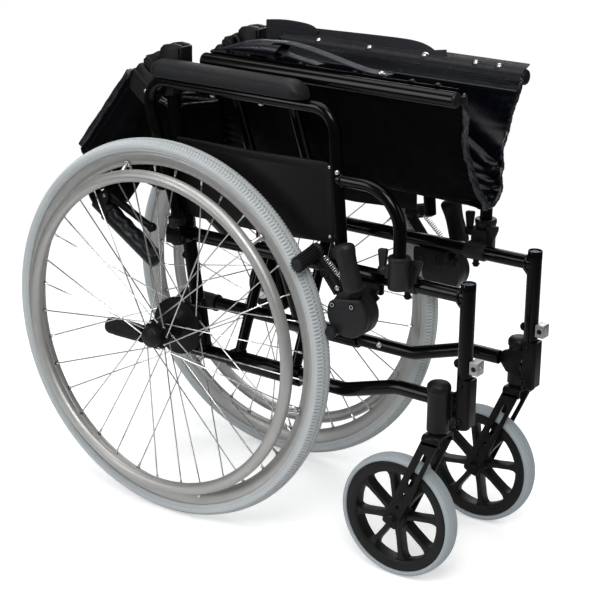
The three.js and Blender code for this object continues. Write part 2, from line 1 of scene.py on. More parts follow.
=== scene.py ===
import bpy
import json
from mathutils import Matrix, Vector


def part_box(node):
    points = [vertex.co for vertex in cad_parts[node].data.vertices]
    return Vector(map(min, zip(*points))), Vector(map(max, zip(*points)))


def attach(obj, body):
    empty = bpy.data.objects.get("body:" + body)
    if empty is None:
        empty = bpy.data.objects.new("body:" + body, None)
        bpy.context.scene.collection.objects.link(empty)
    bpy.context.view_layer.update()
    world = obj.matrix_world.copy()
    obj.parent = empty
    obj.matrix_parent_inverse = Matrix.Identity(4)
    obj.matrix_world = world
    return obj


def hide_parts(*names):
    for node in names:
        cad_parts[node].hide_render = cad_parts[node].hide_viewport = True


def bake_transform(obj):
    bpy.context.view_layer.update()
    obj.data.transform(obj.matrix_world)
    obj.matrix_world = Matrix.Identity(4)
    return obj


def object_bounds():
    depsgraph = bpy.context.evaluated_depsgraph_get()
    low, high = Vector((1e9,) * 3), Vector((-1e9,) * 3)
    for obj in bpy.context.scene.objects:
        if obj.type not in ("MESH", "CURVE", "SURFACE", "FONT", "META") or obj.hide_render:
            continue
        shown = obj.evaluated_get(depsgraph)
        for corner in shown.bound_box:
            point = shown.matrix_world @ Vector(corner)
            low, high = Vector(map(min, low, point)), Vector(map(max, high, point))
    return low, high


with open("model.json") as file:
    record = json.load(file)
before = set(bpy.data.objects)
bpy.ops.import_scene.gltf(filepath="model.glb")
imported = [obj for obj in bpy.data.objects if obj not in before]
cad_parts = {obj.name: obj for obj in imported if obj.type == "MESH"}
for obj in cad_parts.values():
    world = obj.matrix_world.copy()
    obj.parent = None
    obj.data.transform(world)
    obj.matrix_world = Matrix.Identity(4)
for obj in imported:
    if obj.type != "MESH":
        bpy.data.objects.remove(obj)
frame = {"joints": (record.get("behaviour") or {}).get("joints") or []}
CAD_BOX = [list(corner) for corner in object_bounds()]

import json
import math

import bmesh
import bpy
import numpy as np
from mathutils import Matrix, Vector

# A folding manual wheelchair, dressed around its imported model. Lengths are millimetres: "out" from the
# centre plane, y from the rear axle line (-y is the front), and z up from the floor. Pieces are built for
# the left side in (out, y, z), and are mirrored and turned into metres of the row frame as they are made.
RNG = np.random.default_rng(7)
TAU = 2 * math.pi
ACROSS, UPWARD = (1, 0, 0), (0, 0, 1)
SIDES = {"right": -1, "left": 1}


def joint_at(name):
    joint = next(j for j in frame["joints"] if j["name"] == name)
    x, y, z = joint["pos_m"]
    return np.array([abs(x) * 1000, y * 1000 - AXLE_Y, z * 1000])


def node_box(name):
    lo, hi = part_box(name)
    lo, hi = np.array(lo) * 1000, np.array(hi) * 1000
    lo[1] -= AXLE_Y
    hi[1] -= AXLE_Y
    return lo, hi


def middle_of(name):
    lo, hi = node_box(name)
    return (lo + hi) / 2


# Driving places and sizes, from the frame where it has them. Every y is counted from the rear axle line, so
# that line's own place in the frame is read first.
AXLE_Y = 0.0
AXLE_Y = middle_of("rear_tyre_left")[1]
WHEEL = middle_of("rear_tyre_left")
CASTER = middle_of("caster_tyre_left")
STEM = joint_at("caster_left_swivel")
HINGE = joint_at("back_left_raise")
LOCK = joint_at("lock_left_lever")
LOCK_ARM = joint_at("lock_left_arm")
LOW_Z = joint_at("fold")[2]
SEAT_Z = joint_at("seat_left_turn")[2]
PIVOT_Z = joint_at("fold_cross")[2]
OUT = HINGE[0]

# The frame's tubes, as (y, z) points.
TUBE = 11.0
RAIL_Z = 450.0
LOW_FRONT_Z = 288.0
POST_Y = -504.0
POST_ENDS = (250.0, 467.0)
POST_FOOT = (-31.0, 255.0)
POST_BEND = (3.0, 462.0)
CORNER = (214.0, 487.0)
GRIP = ((161.0, 453.0), (62.0, 390.0))
LATCH_Z = 348.0

# Wheels.
SPOKES = 36
HANDRIM_R, HANDRIM_TUBE, HANDRIM_SHIFT, HANDRIM_POSTS = 252.0, 9.5, 30.0, 6
NIPPLE_R = 264.5
CASTER_SPOKES, CASTER_SPOKE_PHASE = 8, -0.19
FORK_TOP, FORK_HALF, FORK_PLATE = 242.0, 22.0, 4.0
FORK_EDGES = (-490.0, -461.0)

# Lock, armrest and their mounts on the upper rail.
LOCK_R = 35.0
LOCK_FOOT = (-266.0, 480.4)
LOCK_KNOB = (118.0, -309.0, 370.0)
ARM_OUT, ARM_TUBE, ARM_TOP = 122.0, 9.5, 692.0
BRANCH_Z = 592.0
SOCKET_Y = -404.0
PAD_OUT, PAD_WIDTH = 131.0, 40.0

# Cross frame and seat rails.
CROSS_TUBE = 8.5
CROSS_A, CROSS_B = (-97.0, -204.0), (-75.0, -182.0)
SEAT_R = 12.0
SEAT_ENDS = (-471.0, -35.0)


# ---------------------------------------------------------------- geometry
def unit(v):
    v = np.asarray(v, float)
    return v / np.linalg.norm(v)


def weld(verts, faces):
    key = np.round(verts * 2e3).astype(np.int64)
    _, first, inverse = np.unique(key, axis=0, return_index=True, return_inverse=True)
    inverse = inverse.reshape(-1)
    kept = []
    for face in faces:
        ids = [int(inverse[i]) for i in face]
        ids = [v for k, v in enumerate(ids) if v != ids[k - 1]]
        if len(set(ids)) > 2 and len(set(ids)) == len(ids):
            kept.append(tuple(ids))
    return verts[first], kept


def skin(rings, loop=False, around=True, caps=False):
    """Faces between neighbouring rings of points."""
    rings = np.asarray(rings, float)
    n, m = rings.shape[:2]
    faces = []
    for i in range(n if loop else n - 1):
        j = (i + 1) % n
        for k in range(m if around else m - 1):
            q = (k + 1) % m
            faces.append((i * m + k, i * m + q, j * m + q, j * m + k))
    if caps:
        faces.append(tuple(reversed(range(m))))
        faces.append(tuple((n - 1) * m + k for k in range(m)))
    return rings.reshape(-1, 3), faces


def bent(corners, radius, step=0.14):
    """Corner points joined by straight runs and round bends."""
    pts = [np.asarray(c, float) for c in corners]
    path = [pts[0]]
    for a, b, c in zip(pts, pts[1:], pts[2:]):
        into, away = unit(b - a), unit(c - b)
        turn = math.acos(float(np.clip(into @ away, -1, 1)))
        if turn < 1e-3:
            continue
        start = b - into * radius * math.tan(turn / 2)
        normal = unit(away - into * (into @ away))
        parts = max(2, math.ceil(turn / step))
        for k in range(parts + 1):
            t = turn * k / parts
            path.append(start + into * radius * math.sin(t) + normal * radius * (1 - math.cos(t)))
    path.append(pts[-1])
    return np.array(path)


def circle(radius, count=20):
    a = np.arange(count) * TAU / count
    return np.stack([radius * np.cos(a), radius * np.sin(a)], 1)


def sweep(path, sections, loop=False, caps=True, up=UPWARD):
    """A section, or one section for each point, carried along a path without twisting."""
    path = np.asarray(path, float)
    sections = np.asarray(sections, float)
    if sections.ndim == 2:
        sections = np.repeat(sections[None], len(path), 0)
    if loop:
        tangents = np.roll(path, -1, 0) - np.roll(path, 1, 0)
    else:
        tangents = np.gradient(path, axis=0)
    normal = np.asarray(up, float)
    if abs(unit(tangents[0]) @ unit(normal)) > 0.95:
        normal = np.array([1.0, 0, 0])
    rings = []
    for point, tangent, section in zip(path, tangents, sections):
        d = unit(tangent)
        normal = unit(normal - d * (normal @ d))
        side = np.cross(d, normal)
        rings.append(point + section[:, :1] * side + section[:, 1:] * normal)
    return skin(rings, loop=loop, caps=caps and not loop)


def tube(corners, radius, bend=30, count=20, lip=0.8, step=0.14):
    path = bent(corners, radius=bend, step=step)
    first, last = unit(path[1] - path[0]), unit(path[-1] - path[-2])
    path = np.concatenate([[path[0], path[0] + first * lip], path[1:-1], [path[-1] - last * lip, path[-1]]])
    scale = np.ones(len(path))
    scale[0] = scale[-1] = 1 - lip / radius
    return sweep(path, circle(radius, count)[None] * scale[:, None, None])


def lathe(profile, origin, direction=ACROSS, count=32, closed=False, phase=0.0):
    """(radius, distance) points turned about an axis."""
    d = unit(direction)
    u = unit(np.cross(d, (0, 0, 1)) if abs(d[2]) < 0.9 else np.cross(d, (0, 1, 0)))
    v = np.cross(d, u)
    prof = np.asarray(profile, float)
    rings = []
    for k in range(count):
        a = TAU * (k + phase) / count
        e = math.cos(a) * u + math.sin(a) * v
        rings.append(np.asarray(origin, float) + prof[:, 1:] * d + prof[:, :1] * e)
    return weld(*skin(rings, loop=True, around=closed))


def rod(a, b, radius, edge=0.6, count=20, phase=0.0):
    a, b = np.asarray(a, float), np.asarray(b, float)
    length = np.linalg.norm(b - a)
    profile = [(0, 0), (radius - edge, 0), (radius - 0.3 * edge, 0.3 * edge), (radius, edge),
               (radius, length - edge), (radius - 0.3 * edge, length - 0.3 * edge), (radius - edge,
                       length), (0, length)]
    return lathe(profile, a, b - a, count, phase=phase)


def collar(at, direction, inner, outer, lo, hi, count=24):
    """A plain ring, from lo to hi along its axis."""
    return lathe([(inner, lo), (outer, lo), (outer, hi), (inner, hi)], at, direction, count, closed=True)


def dome(at, direction, radius, height, count=20):
    """A round bolt head with a small socket."""
    profile = [(0, height * 0.55), (radius * 0.32, height * 0.55), (radius * 0.38, height)]
    profile += [(radius * math.sin(t), height * math.cos(t) ** 0.8) for t in np.linspace(0.6, 1.45, 5)]
    profile += [(radius, 0), (0, 0)]
    return lathe(profile, at, direction, count)


def hexagon(at, direction, radius, height):
    washer = lathe([(0, 0), (radius * 1.35, 0), (radius * 1.35, 1.2), (0, 1.2)], at, direction, 24)
    head = lathe([(0, 1.2), (radius, 1.2), (radius, height - 0.7), (radius * 0.88, height), (0, height)],
                 at, direction, 6)
    return [washer, head]


def fillet(points, radius):
    """A closed outline with its corners rounded."""
    pts = [np.asarray(p, float) for p in points]
    radii = radius if isinstance(radius, (list, tuple)) else [radius] * len(pts)
    out = []
    for i, b in enumerate(pts):
        a, c = pts[i - 1], pts[(i + 1) % len(pts)]
        into, away = unit(b - a), unit(c - b)
        turn = math.acos(float(np.clip(into @ away, -1, 1)))
        r = radii[i]
        if turn < 0.02 or r <= 0:
            out.append(b)
            continue
        setback = min(r * math.tan(turn / 2), 0.45 * np.linalg.norm(b - a), 0.45 * np.linalg.norm(c - b))
        r = setback / math.tan(turn / 2)
        start = b - into * setback
        normal = unit(away - into * (into @ away))
        for k in range(6):
            t = turn * k / 5
            out.append(start + into * r * math.sin(t) + normal * r * (1 - math.cos(t)))
    return out


def ring_outline(y, z, radius, count=20):
    return [(y + a, z + b) for a, b in circle(radius, count)]


def slab(outline, lo, hi, edge=0.6, holes=(), axis="x"):
    """A plate with rounded edges. Axis x: outline (y, z) from out lo to hi. Axis y: outline (out, z)."""
    curve = bpy.data.curves.new("slab", "CURVE")
    curve.dimensions = "2D"
    curve.fill_mode = "BOTH"
    curve.bevel_depth = edge
    curve.offset = -edge
    curve.bevel_resolution = 1
    curve.extrude = (hi - lo) / 2 - edge
    for loop in (outline, *holes):
        spline = curve.splines.new("POLY")
        spline.points.add(len(loop) - 1)
        for point, (a, b) in zip(spline.points, loop):
            point.co = (a, b, 0, 1)
        spline.use_cyclic_u = True
    holder = bpy.data.objects.new("slab", curve)
    mesh = bpy.data.meshes.new_from_object(holder)
    verts = np.array([v.co for v in mesh.vertices], float)
    faces = [tuple(p.vertices) for p in mesh.polygons]
    bpy.data.objects.remove(holder)
    bpy.data.curves.remove(curve)
    bpy.data.meshes.remove(mesh)
    middle = (lo + hi) / 2
    if axis == "x":
        verts = np.stack([verts[:, 2] + middle, verts[:, 0], verts[:, 1]], 1)
    else:
        verts = np.stack([verts[:, 0], verts[:, 2] + middle, verts[:, 1]], 1)
    return weld(verts, faces)


def brick(lo, hi, edge=1.5, segments=2):
    bm = bmesh.new()
    bmesh.ops.create_cube(bm, size=1)
    lo, hi = np.asarray(lo, float), np.asarray(hi, float)
    for v in bm.verts:
        v.co = Vector((lo + hi) / 2 + np.array(v.co) * (hi - lo))
    bmesh.ops.bevel(bm, geom=bm.edges[:], offset=edge, segments=segments, profile=0.6, affect="EDGES")
    bm.verts.index_update()
    shell = np.array([v.co for v in bm.verts]), [tuple(v.index for v in f.verts) for f in bm.faces]
    bm.free()
    return shell


def step_from(point, direction, along, aside=0.0):
    (y, z), (dy, dz) = point, direction
    return np.array([y + dy * along - dz * aside, z + dz * along + dy * aside])


def flat(out, point):
    return np.array([out, point[0], point[1]], float)


class Piece:
    """One visible piece: shells with their materials, made into one mesh on one body."""

    def __init__(self, name, side=1, suffix=True):
        self.side = side
        self.name = f"{name}_{'left' if side > 0 else 'right'}" if suffix else name
        self.shells = []

    def add(self, material, *shells):
        for shell in shells:
            self.shells += [(s, material) for s in (shell if isinstance(shell, list) else [shell])]
        return self

    def mesh(self, crease):
        verts, faces, slots, materials, base = [], [], [], [], 0
        for (points, polygons), material in self.shells:
            used = material if isinstance(material, list) else [material] * len(polygons)
            materials += [m for m in dict.fromkeys(used) if m not in materials]
            verts.append(points)
            faces += [tuple(i + base for i in f) for f in polygons]
            slots += [materials.index(m) for m in used]
            base += len(points)
        points = np.concatenate(verts) * (self.side, 1, 1) + (0, AXLE_Y, 0)
        mesh = bpy.data.meshes.new(self.name)
        mesh.from_pydata((points / 1000).tolist(), [], faces)
        mesh.polygons.foreach_set("material_index", slots)
        for material in materials:
            mesh.materials.append(material)
        bm = bmesh.new()
        bm.from_mesh(mesh)
        bmesh.ops.recalc_face_normals(bm, faces=bm.faces)
        bm.to_mesh(mesh)
        bm.free()
        mesh.polygons.foreach_set("use_smooth", [True] * len(mesh.polygons))
        mesh.set_sharp_from_angle(angle=math.radians(crease))
        return mesh

    def make(self, slot, body=None, nodes=(), crease=38, between=None):
        """Body is the one it rides on. Between is (body, second body, start, end); when it is given, the
        piece's placing is baked into its mesh.
        """
        obj = bpy.data.objects.new(self.name, self.mesh(crease))
        bpy.context.scene.collection.objects.link(obj)
        if body:
            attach(obj, body)
        if between:
            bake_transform(obj)
        if nodes:
            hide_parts(*nodes)
        return obj


# ---------------------------------------------------------------- materials
class Nodes:
    """A short way to build a material's node tree around its Principled BSDF."""

    def __init__(self, name):
        self.material = bpy.data.materials.new(name)
        self.material.use_nodes = True
        self.tree = self.material.node_tree
        self.bsdf = self.tree.nodes["Principled BSDF"]
        self.place = self.node("ShaderNodeTexCoord").outputs["Object"]

    def node(self, kind, **values):
        made = self.tree.nodes.new(kind)
        for key, value in values.items():
            setattr(made, key, value)
        return made

    def link(self, source, target):
        self.tree.links.new(source, target)

    def set(self, **values):
        for key, value in values.items():
            self.bsdf.inputs[key.replace("_", " ")].default_value = value

    def noise(self, scale, detail=4, rough=0.55, place=None):
        made = self.node("ShaderNodeTexNoise")
        made.inputs["Scale"].default_value = scale
        made.inputs["Detail"].default_value = detail
        made.inputs["Roughness"].default_value = rough
        self.link(place or self.place, made.inputs["Vector"])
        return made.outputs["Fac"]

    def stretched(self, x, y, z):
        made = self.node("ShaderNodeMapping")
        made.inputs["Scale"].default_value = (x, y, z)
        self.link(self.place, made.inputs["Vector"])
        return made.outputs["Vector"]

    def cells(self, scale, feature="F1", place=None):
        made = self.node("ShaderNodeTexVoronoi", feature=feature)
        made.inputs["Scale"].default_value = scale
        self.link(place or self.place, made.inputs["Vector"])
        return made.outputs["Distance"]

    def wave(self, scale, direction):
        made = self.node("ShaderNodeTexWave", wave_type="BANDS", bands_direction=direction)
        made.inputs["Scale"].default_value = scale
        made.inputs["Distortion"].default_value = 0.6
        made.inputs["Detail Scale"].default_value = 2
        self.link(self.place, made.inputs["Vector"])
        return made.outputs["Fac"]

    def ramp(self, source, lo, hi, out_lo=0.0, out_hi=1.0):
        made = self.node("ShaderNodeMapRange")
        for key, value in zip(("From Min", "From Max", "To Min", "To Max"), (lo, hi, out_lo, out_hi)):
            made.inputs[key].default_value = value
        self.link(source, made.inputs["Value"])
        return made.outputs["Result"]

    def math(self, operation, a, b):
        made = self.node("ShaderNodeMath", operation=operation)
        for k, value in enumerate((a, b)):
            if isinstance(value, (int, float)):
                made.inputs[k].default_value = value
            else:
                self.link(value, made.inputs[k])
        return made.outputs[0]

    def mix(self, factor, a, b):
        made = self.node("ShaderNodeMix", data_type="RGBA")
        self.link(factor, made.inputs["Factor"])
        for key, value in (("A", a), ("B", b)):
            target = [s for s in made.inputs if s.name == key and s.type == "RGBA"][0]
            if isinstance(value, (tuple, list)):
                target.default_value = (*value, 1)
            else:
                self.link(value, target)
        return [s for s in made.outputs if s.type == "RGBA"][0]

    def edges(self):
        geometry = self.node("ShaderNodeNewGeometry")
        return self.ramp(geometry.outputs["Pointiness"], 0.6, 0.72)

    def bump(self, *layers):
        """Layers of (height, millimetres)."""
        normal = None
        for height, depth in layers:
            made = self.node("ShaderNodeBump")
            made.inputs["Distance"].default_value = depth / 1000
            made.inputs["Strength"].default_value = 1.0
            self.link(height, made.inputs["Height"])
            if normal:
                self.link(normal, made.inputs["Normal"])
            normal = made.outputs["Normal"]
        self.link(normal, self.bsdf.inputs["Normal"])

    def colour(self, source):
        self.link(source, self.bsdf.inputs["Base Color"])

    def rough(self, source):
        self.link(source, self.bsdf.inputs["Roughness"])


def shade(colour, factor):
    return tuple(min(1.0, c * factor) for c in colour)


def painted(name, colour, rough, coat, grain, wear):
    """Gloss or satin paint over steel, with orange peel, dust and rubbed edges."""
    n = Nodes(name)
    patch = n.noise(14, 5, 0.6)
    base = n.mix(patch, shade(colour, 0.7), shade(colour, 1.4))
    rubbed = n.math("MULTIPLY", n.edges(), n.ramp(n.noise(120, 3), 0.45, 0.7))
    n.colour(n.mix(n.math("MULTIPLY", rubbed, wear), base, (0.16, 0.155, 0.15)))
    dull = n.ramp(n.noise(38, 6, 0.7), 0.3, 0.75, rough * 0.75, rough * 1.4)
    n.rough(n.math("ADD", dull, n.math("MULTIPLY", rubbed, 0.2)))
    n.bump((n.noise(420, 2), grain), (n.noise(60, 2), grain * 1.5))
    n.set(Metallic=0.0, Coat_Weight=coat, Coat_Roughness=0.07, Specular_IOR_Level=0.1)
    return n.material


def moulded(name, colour, rough, cell, depth, sheen=0.0):
    """Moulded plastic or rubber with a fine leathery grain and paler rubbed edges."""
    n = Nodes(name)
    patch = n.noise(22, 5, 0.6)
    base = n.mix(patch, shade(colour, 0.75), shade(colour, 1.3))
    n.colour(n.mix(n.math("MULTIPLY", n.edges(), 0.35), base, shade(colour, 3.2)))
    n.rough(n.ramp(n.noise(90, 4, 0.7), 0.3, 0.7, rough - 0.08, rough + 0.1))
    n.bump((n.cells(cell), depth), (n.noise(cell * 2.2, 3), depth * 0.6))
    n.set(Sheen_Weight=sheen, Sheen_Roughness=0.4, Specular_IOR_Level=0.24)
    return n.material


def woven(name, colour, pitch, depth, rough=0.6, sheen=0.35, gloss=0.2):
    """Coated nylon: crossing threads, soft sheen, faint creases and dust."""
    n = Nodes(name)
    patch = n.noise(9, 6, 0.65)
    base = n.mix(n.ramp(patch, 0.3, 0.7), shade(colour, 0.6), shade(colour, 1.5))
    threads = n.math("MULTIPLY", n.math("ADD", n.wave(pitch, "X"), n.wave(pitch, "Z")), n.wave(pitch, "Y"))
    n.colour(n.mix(n.ramp(threads, 0.1, 1.4, 0.0, 0.5), base, shade(colour, 2.4)))
    n.rough(n.ramp(n.noise(60, 5, 0.7), 0.3, 0.7, rough - 0.12, rough + 0.12))
    n.bump((threads, depth), (n.noise(26, 5, 0.6), depth * 4))
    n.set(Sheen_Weight=sheen, Sheen_Roughness=0.35, Sheen_Tint=(0.5, 0.6, 0.95, 1), Specular_IOR_Level=gloss)
    return n.material


def metal(name, colour, rough, stretch, depth, patch=18, whole=1.0):
    """Bare metal with fine brush marks and dull patches."""
    n = Nodes(name)
    lines = n.noise(300, 3, 0.6, n.stretched(*stretch))
    base = n.mix(n.noise(patch, 4, 0.6), shade(colour, 0.86), shade(colour, 1.08))
    n.colour(n.mix(n.ramp(lines, 0.35, 0.75, 0.0, 0.35), base, shade(colour, 0.7)))
    n.rough(n.ramp(n.noise(70, 5, 0.7), 0.3, 0.7, rough - 0.07, rough + 0.1))
    n.bump((lines, depth))
    n.set(Metallic=whole)
    return n.material


def rubber(name, colour, painted_groove_shade, grain=500):
    """Solid grey tyre: mottled, with darker scuffed patches, and painted shade darkening its grooves."""
    n = Nodes(name)
    geometry = n.node("ShaderNodeNewGeometry")
    hollow = n.ramp(geometry.outputs["Pointiness"], 0.5, 0.42)
    base = n.mix(n.noise(16, 6, 0.65), shade(colour, 0.9), shade(colour, 1.06))
    scuffed = n.mix(n.ramp(n.noise(180, 4, 0.7), 0.55, 0.75, 0.0, 0.45), base, shade(colour, 0.78))
    n.colour(n.mix(hollow, scuffed, painted_groove_shade))
    n.rough(n.ramp(n.noise(50, 5), 0.3, 0.7, 0.6, 0.85))
    n.bump((n.noise(grain, 3), 0.12), (n.noise(45, 3), 0.2))
    return n.material


BLACK = painted("frame_black", (0.0014, 0.0013, 0.0012), 0.2, 0.17, 0.015, 0.7)
FORK = painted("fork_black", (0.005, 0.0047, 0.0045), 0.42, 0.07, 0.07, 0.8)
PLASTIC = moulded("plastic_black", (0.0048, 0.0046, 0.0048), 0.44, 900, 0.07)
LOCK_GREY = moulded("lock_grey", (0.0125, 0.0127, 0.0138), 0.42, 900, 0.07)
GUARD = moulded("guard_black", (0.0022, 0.002, 0.0019), 0.46, 520, 0.1)
RUBBER = moulded("rubber_black", (0.009, 0.009, 0.0095), 0.6, 700, 0.07)
GRIP_RUBBER = moulded("grip_rubber", (0.006, 0.007, 0.009), 0.3, 800, 0.05)
VINYL = moulded("pad_vinyl", (0.0085, 0.0085, 0.0098), 0.5, 640, 0.09, 0.03)
PLUG_BLUE = moulded("plug_blue", (0.008, 0.022, 0.062), 0.4, 700, 0.05)
NYLON = woven("nylon_black", (0.0009, 0.0009, 0.0013), 420, 0.05, 0.62, 0.0, 0.035)
# Upper face of the seat cloth: glossier than the underside, and painted lighter and bluer as the lit face,
# against the darker underside.
PAINTED_LIGHTER_INNER = woven("nylon_inner_painted_lighter", (0.0015, 0.0017, 0.0031), 420, 0.04, 0.34, 0.02, 0.22)
# A lighter, bluer copy of the nylon for hems, rolls and seams: its extra sheen and gloss are real, its
# lighter colour is painted highlight.
PAINTED_HIGHLIGHT_NYLON = woven("nylon_sheen_painted_highlight", (0.0026, 0.003, 0.0052), 420, 0.03, 0.33, 0.06, 0.5)
WEBBING = woven("webbing", (0.006, 0.0062, 0.008), 300, 0.12, 0.6, 0.1)
THREAD = moulded("thread", (0.007, 0.0075, 0.01), 0.6, 900, 0.1)
# The third colour of each tyre is the painted shade laid in its grooves.
TYRE = rubber("tyre_grey", (0.47, 0.495, 0.505), (0.15, 0.16, 0.16))
CASTER_TYRE = rubber("caster_tyre", (0.33, 0.365, 0.385), (0.08, 0.09, 0.10))
ALLOY = metal("alloy", (0.46, 0.452, 0.438), 0.42, (1, 0.05, 0.05), 0.02, whole=0.7)
STEEL = metal("steel", (0.72, 0.725, 0.72), 0.27, (1, 1, 0.1), 0.01, 60)
CAST = metal("cast_zinc", (0.50, 0.49, 0.47), 0.38, (1, 1, 1), 0.08, 90)


# ---------------------------------------------------------------- side frame
def post_direction():
    return unit(np.subtract(HINGE[1:], POST_BEND))


def cane_direction():
    return unit(np.subtract(CORNER, HINGE[1:]))


def handle_direction():
    return unit(np.subtract(GRIP[1], CORNER))


def bead(at, direction, radius, size=1.7):
    """A weld bead round a tube's end, a little uneven."""
    d = unit(direction)
    u = unit(np.cross(d, (1, 0, 0)) if abs(d[0]) < 0.9 else np.cross(d, (0, 0, 1)))
    v = np.cross(d, u)
    path, sections = [], []
    for k in range(48):
        a = TAU * k / 48
        ripple = size * (1 + 0.16 * math.sin(16 * a) + 0.06 * math.sin(5 * a))
        path.append(np.asarray(at, float) + (radius + 0.2) * (math.cos(a) * u + math.sin(a) * v))
        sections.append(circle(ripple, 8))
    return sweep(path, sections, loop=True, up=d)


def plug(at, direction, radius):
    """The plastic plug in an open tube end."""
    profile = [(0, 2.2), (radius * 0.5, 2.0), (radius * 0.8, 1.2), (radius * 0.93, 0.2),
               (radius * 0.93, -1.5), (0, -1.5)]
    return lathe(profile, at, direction, 24)


def lower_rail():
    return [(OUT, 150, LOW_Z), (OUT, -300, LOW_Z), (OUT + 2, -392, LOW_FRONT_Z), (OUT + 3, -452, LOW_FRONT_Z)]


def side_frame(side, s):
    p = Piece("frame_tubes", side)
    top = step_from(HINGE[1:], post_direction(), -30)
    post = [flat(OUT, POST_FOOT), flat(OUT, POST_BEND), flat(OUT, top)]
    foot, head = ((OUT, POST_Y, z) for z in POST_ENDS)
    p.add(BLACK, tube([foot, head], TUBE))
    rim = [(9.3, -9), (TUBE, -9), (TUBE, 3), (10.6, 3.6), (9.7, 3.6), (9.3, 3.2)]
    p.add(BLACK, lathe(rim, head, UPWARD, 28, closed=True))
    p.add(BLACK, tube([(OUT, POST_Y, RAIL_Z), (OUT, 2, RAIL_Z)], TUBE))
    p.add(BLACK, tube(lower_rail(), TUBE, 60), tube(post, TUBE, 80))
    p.add(PLUG_BLUE, plug(np.add(head, (0, 0, 0.4)), UPWARD, 10))
    beads = [((OUT, POST_Y + TUBE, RAIL_Z), (0, 1, 0)), ((OUT, POST_Y + 8, LOW_FRONT_Z), (0, 1, 0)),
             ((OUT, -9, RAIL_Z), (0, 1, 0)), ((OUT, -29, LOW_Z + TUBE), (0.15, 0, 1))]
    p.add(BLACK, *[bead(at, d, TUBE) for at, d in beads])
    gusset = fillet([(-498, 444), (-480, 444), (-488, 436), (-498, 425)], [1, 2, 10, 2])
    p.add(BLACK, slab(gusset, OUT - 2.5, OUT + 2.5))
    axle_holes = [ring_outline(0, WHEEL[2], 6.4), ring_outline(-22, 338, 3.2), ring_outline(4, 324, 2.6)]
    axle_plate = fillet([(-42, 268), (14, 282), (20, 305), (12, 328), (-30, 352)], 6)
    p.add(FORK, slab(axle_plate, OUT - 4, OUT + 4, 0.8, axle_holes))
    p.add(BLACK, brick((OUT + 3, -12, 440), (133, 18, 470), 3))
    p.add(PLASTIC, rod((ARM_OUT, 3, 466), (ARM_OUT, 3, 482), 13.5, 1.5))
    for z in (416, 442):
        p.add(FORK, dome((OUT + 9, 0.5, z), ACROSS, 5.5, 4))
    p.add(FORK, *hexagon((OUT + 4, -12, 290), ACROSS, 5, 5), *hexagon((OUT + 4, -24, 338), ACROSS, 5, 5))
    p.add(STEEL, dome((OUT - 10.2, -240, LOW_Z + 3), (-1, 0, 0), 5, 3))
    hinge_bracket(p)
    p.make("frame_black", f"side_{s}", [f"side_frame_{s}"])


def hinge_bracket(p):
    """The moulded housing on top of the rear post, with its two cheek plates and the pivot bolt."""
    d = post_direction()
    foot = step_from(HINGE[1:], d, -46)
    across = 11.0
    corners = ((-48, across), (-48, -across), (4, -across), (10, -5), (10, 5), (4, across))
    outline = [step_from(HINGE[1:], d, a, b) for a, b in corners]
    for lo, hi in ((OUT - 12.5, OUT - 4.5), (OUT + 4.5, OUT + 12.5)):
        p.add(PLASTIC, slab(fillet(outline, 4), lo, hi, 1.4))
    p.add(PLASTIC, rod(flat(OUT, foot), flat(OUT, step_from(HINGE[1:], d, -28)), 14.5, 2))
    p.add(STEEL, rod(flat(OUT - 14.5, HINGE[1:]), flat(OUT + 14.5, HINGE[1:]), 4.5, 1))
    cane = cane_direction()
    for spread, outline in ((14.5, [(-6, 12.5), (-8, 22), (4, 27), (14, 32), (23, 35.5), (28, 32),
                                    (29.5, 12.5)]),
                            (15.8, [(12, 14), (11, 32.6), (16, 34), (18, 14)])):
        hood = [step_from(HINGE[1:], cane, *q) for q in outline]
        p.add(PLASTIC, slab(fillet(hood, 4), OUT - spread, OUT + spread, 3 if spread == 14.5 else 1.4))
    cap = [(1, 706), (2, 742), (6, 746), (20, 747), (36, 744), (42, 738), (44, 722), (36, 708)]
    for lo, hi in ((OUT - 14, OUT - 5), (OUT + 5, OUT + 14)):
        p.add(PLASTIC, slab(fillet(cap, 4), lo, hi, 1.6))
    p.add(PLASTIC, brick((OUT - 14, 1, 712), (OUT + 14, 8, 744), 2))


def latch_block(side, s):
    p = Piece("latch", side)
    front = POST_Y - TUBE
    p.add(CAST, brick((OUT - 9, front - 15, LATCH_Z - 10), (OUT + 9, front - 0.3, LATCH_Z + 10), 1.6, 3))
    p.add(PLASTIC, rod((OUT - 9.4, front - 8, LATCH_Z), (OUT + 9.4, front - 8, LATCH_Z), 4.2, 0.5))
    p.add(CAST, collar((OUT, front - 8, LATCH_Z), ACROSS, 4, 5.4, -9.8, 9.8))
    p.add(CAST, rod((OUT, front - 16.2, LATCH_Z), (OUT, front - 14, LATCH_Z), 4.5))
    p.add(FORK, dome((OUT, POST_Y + TUBE - 0.5, LATCH_Z), (0, 1, 0), 7, 7))
    p.make("steel", f"side_{s}", [f"latch_block_{s}"])


def rear_tip(side, s):
    profile = [(11.3, 0), (14.6, 0), (14.8, 3), (13.6, 6), (14, 12)]
    profile += [(14.2 + 0.5 * (k % 2), 14 + 2.2 * k) for k in range(20)]
    profile += [(14, 62), (14, 70), (12.5, 74.2), (9, 75), (0, 75)]
    p = Piece("rear_tip", side)
    p.add(RUBBER, lathe(profile, (OUT, 96, LOW_Z), (0, 1, 0), 32))
    p.make("rubber_black", f"side_{s}", [f"rear_tip_{s}"])


# ---------------------------------------------------------------- rear wheel
def tyre_rings(profile, lug, count, lugs):
    """Rings of a tyre section. Where the profile's lug value is 1 or 2 the tread is cut into blocks, the rows
    offset by half a block."""
    rings = []
    for k in range(count):
        phase = (k * lugs / count) % 1.0
        offset = np.zeros(len(profile))
        for row in (1, 2):
            cut = ((phase + 0.5 * (row - 1)) % 1.0) < 0.42
            offset[lug == row] = -1.5 if cut else 0.0
        a = TAU * k / count
        r = profile[:, 0] + offset
        rings.append(np.stack([WHEEL[0] + profile[:, 1], WHEEL[1] + r * math.cos(a), WHEEL[2] + r
                               * math.sin(a)], 1))
    return rings


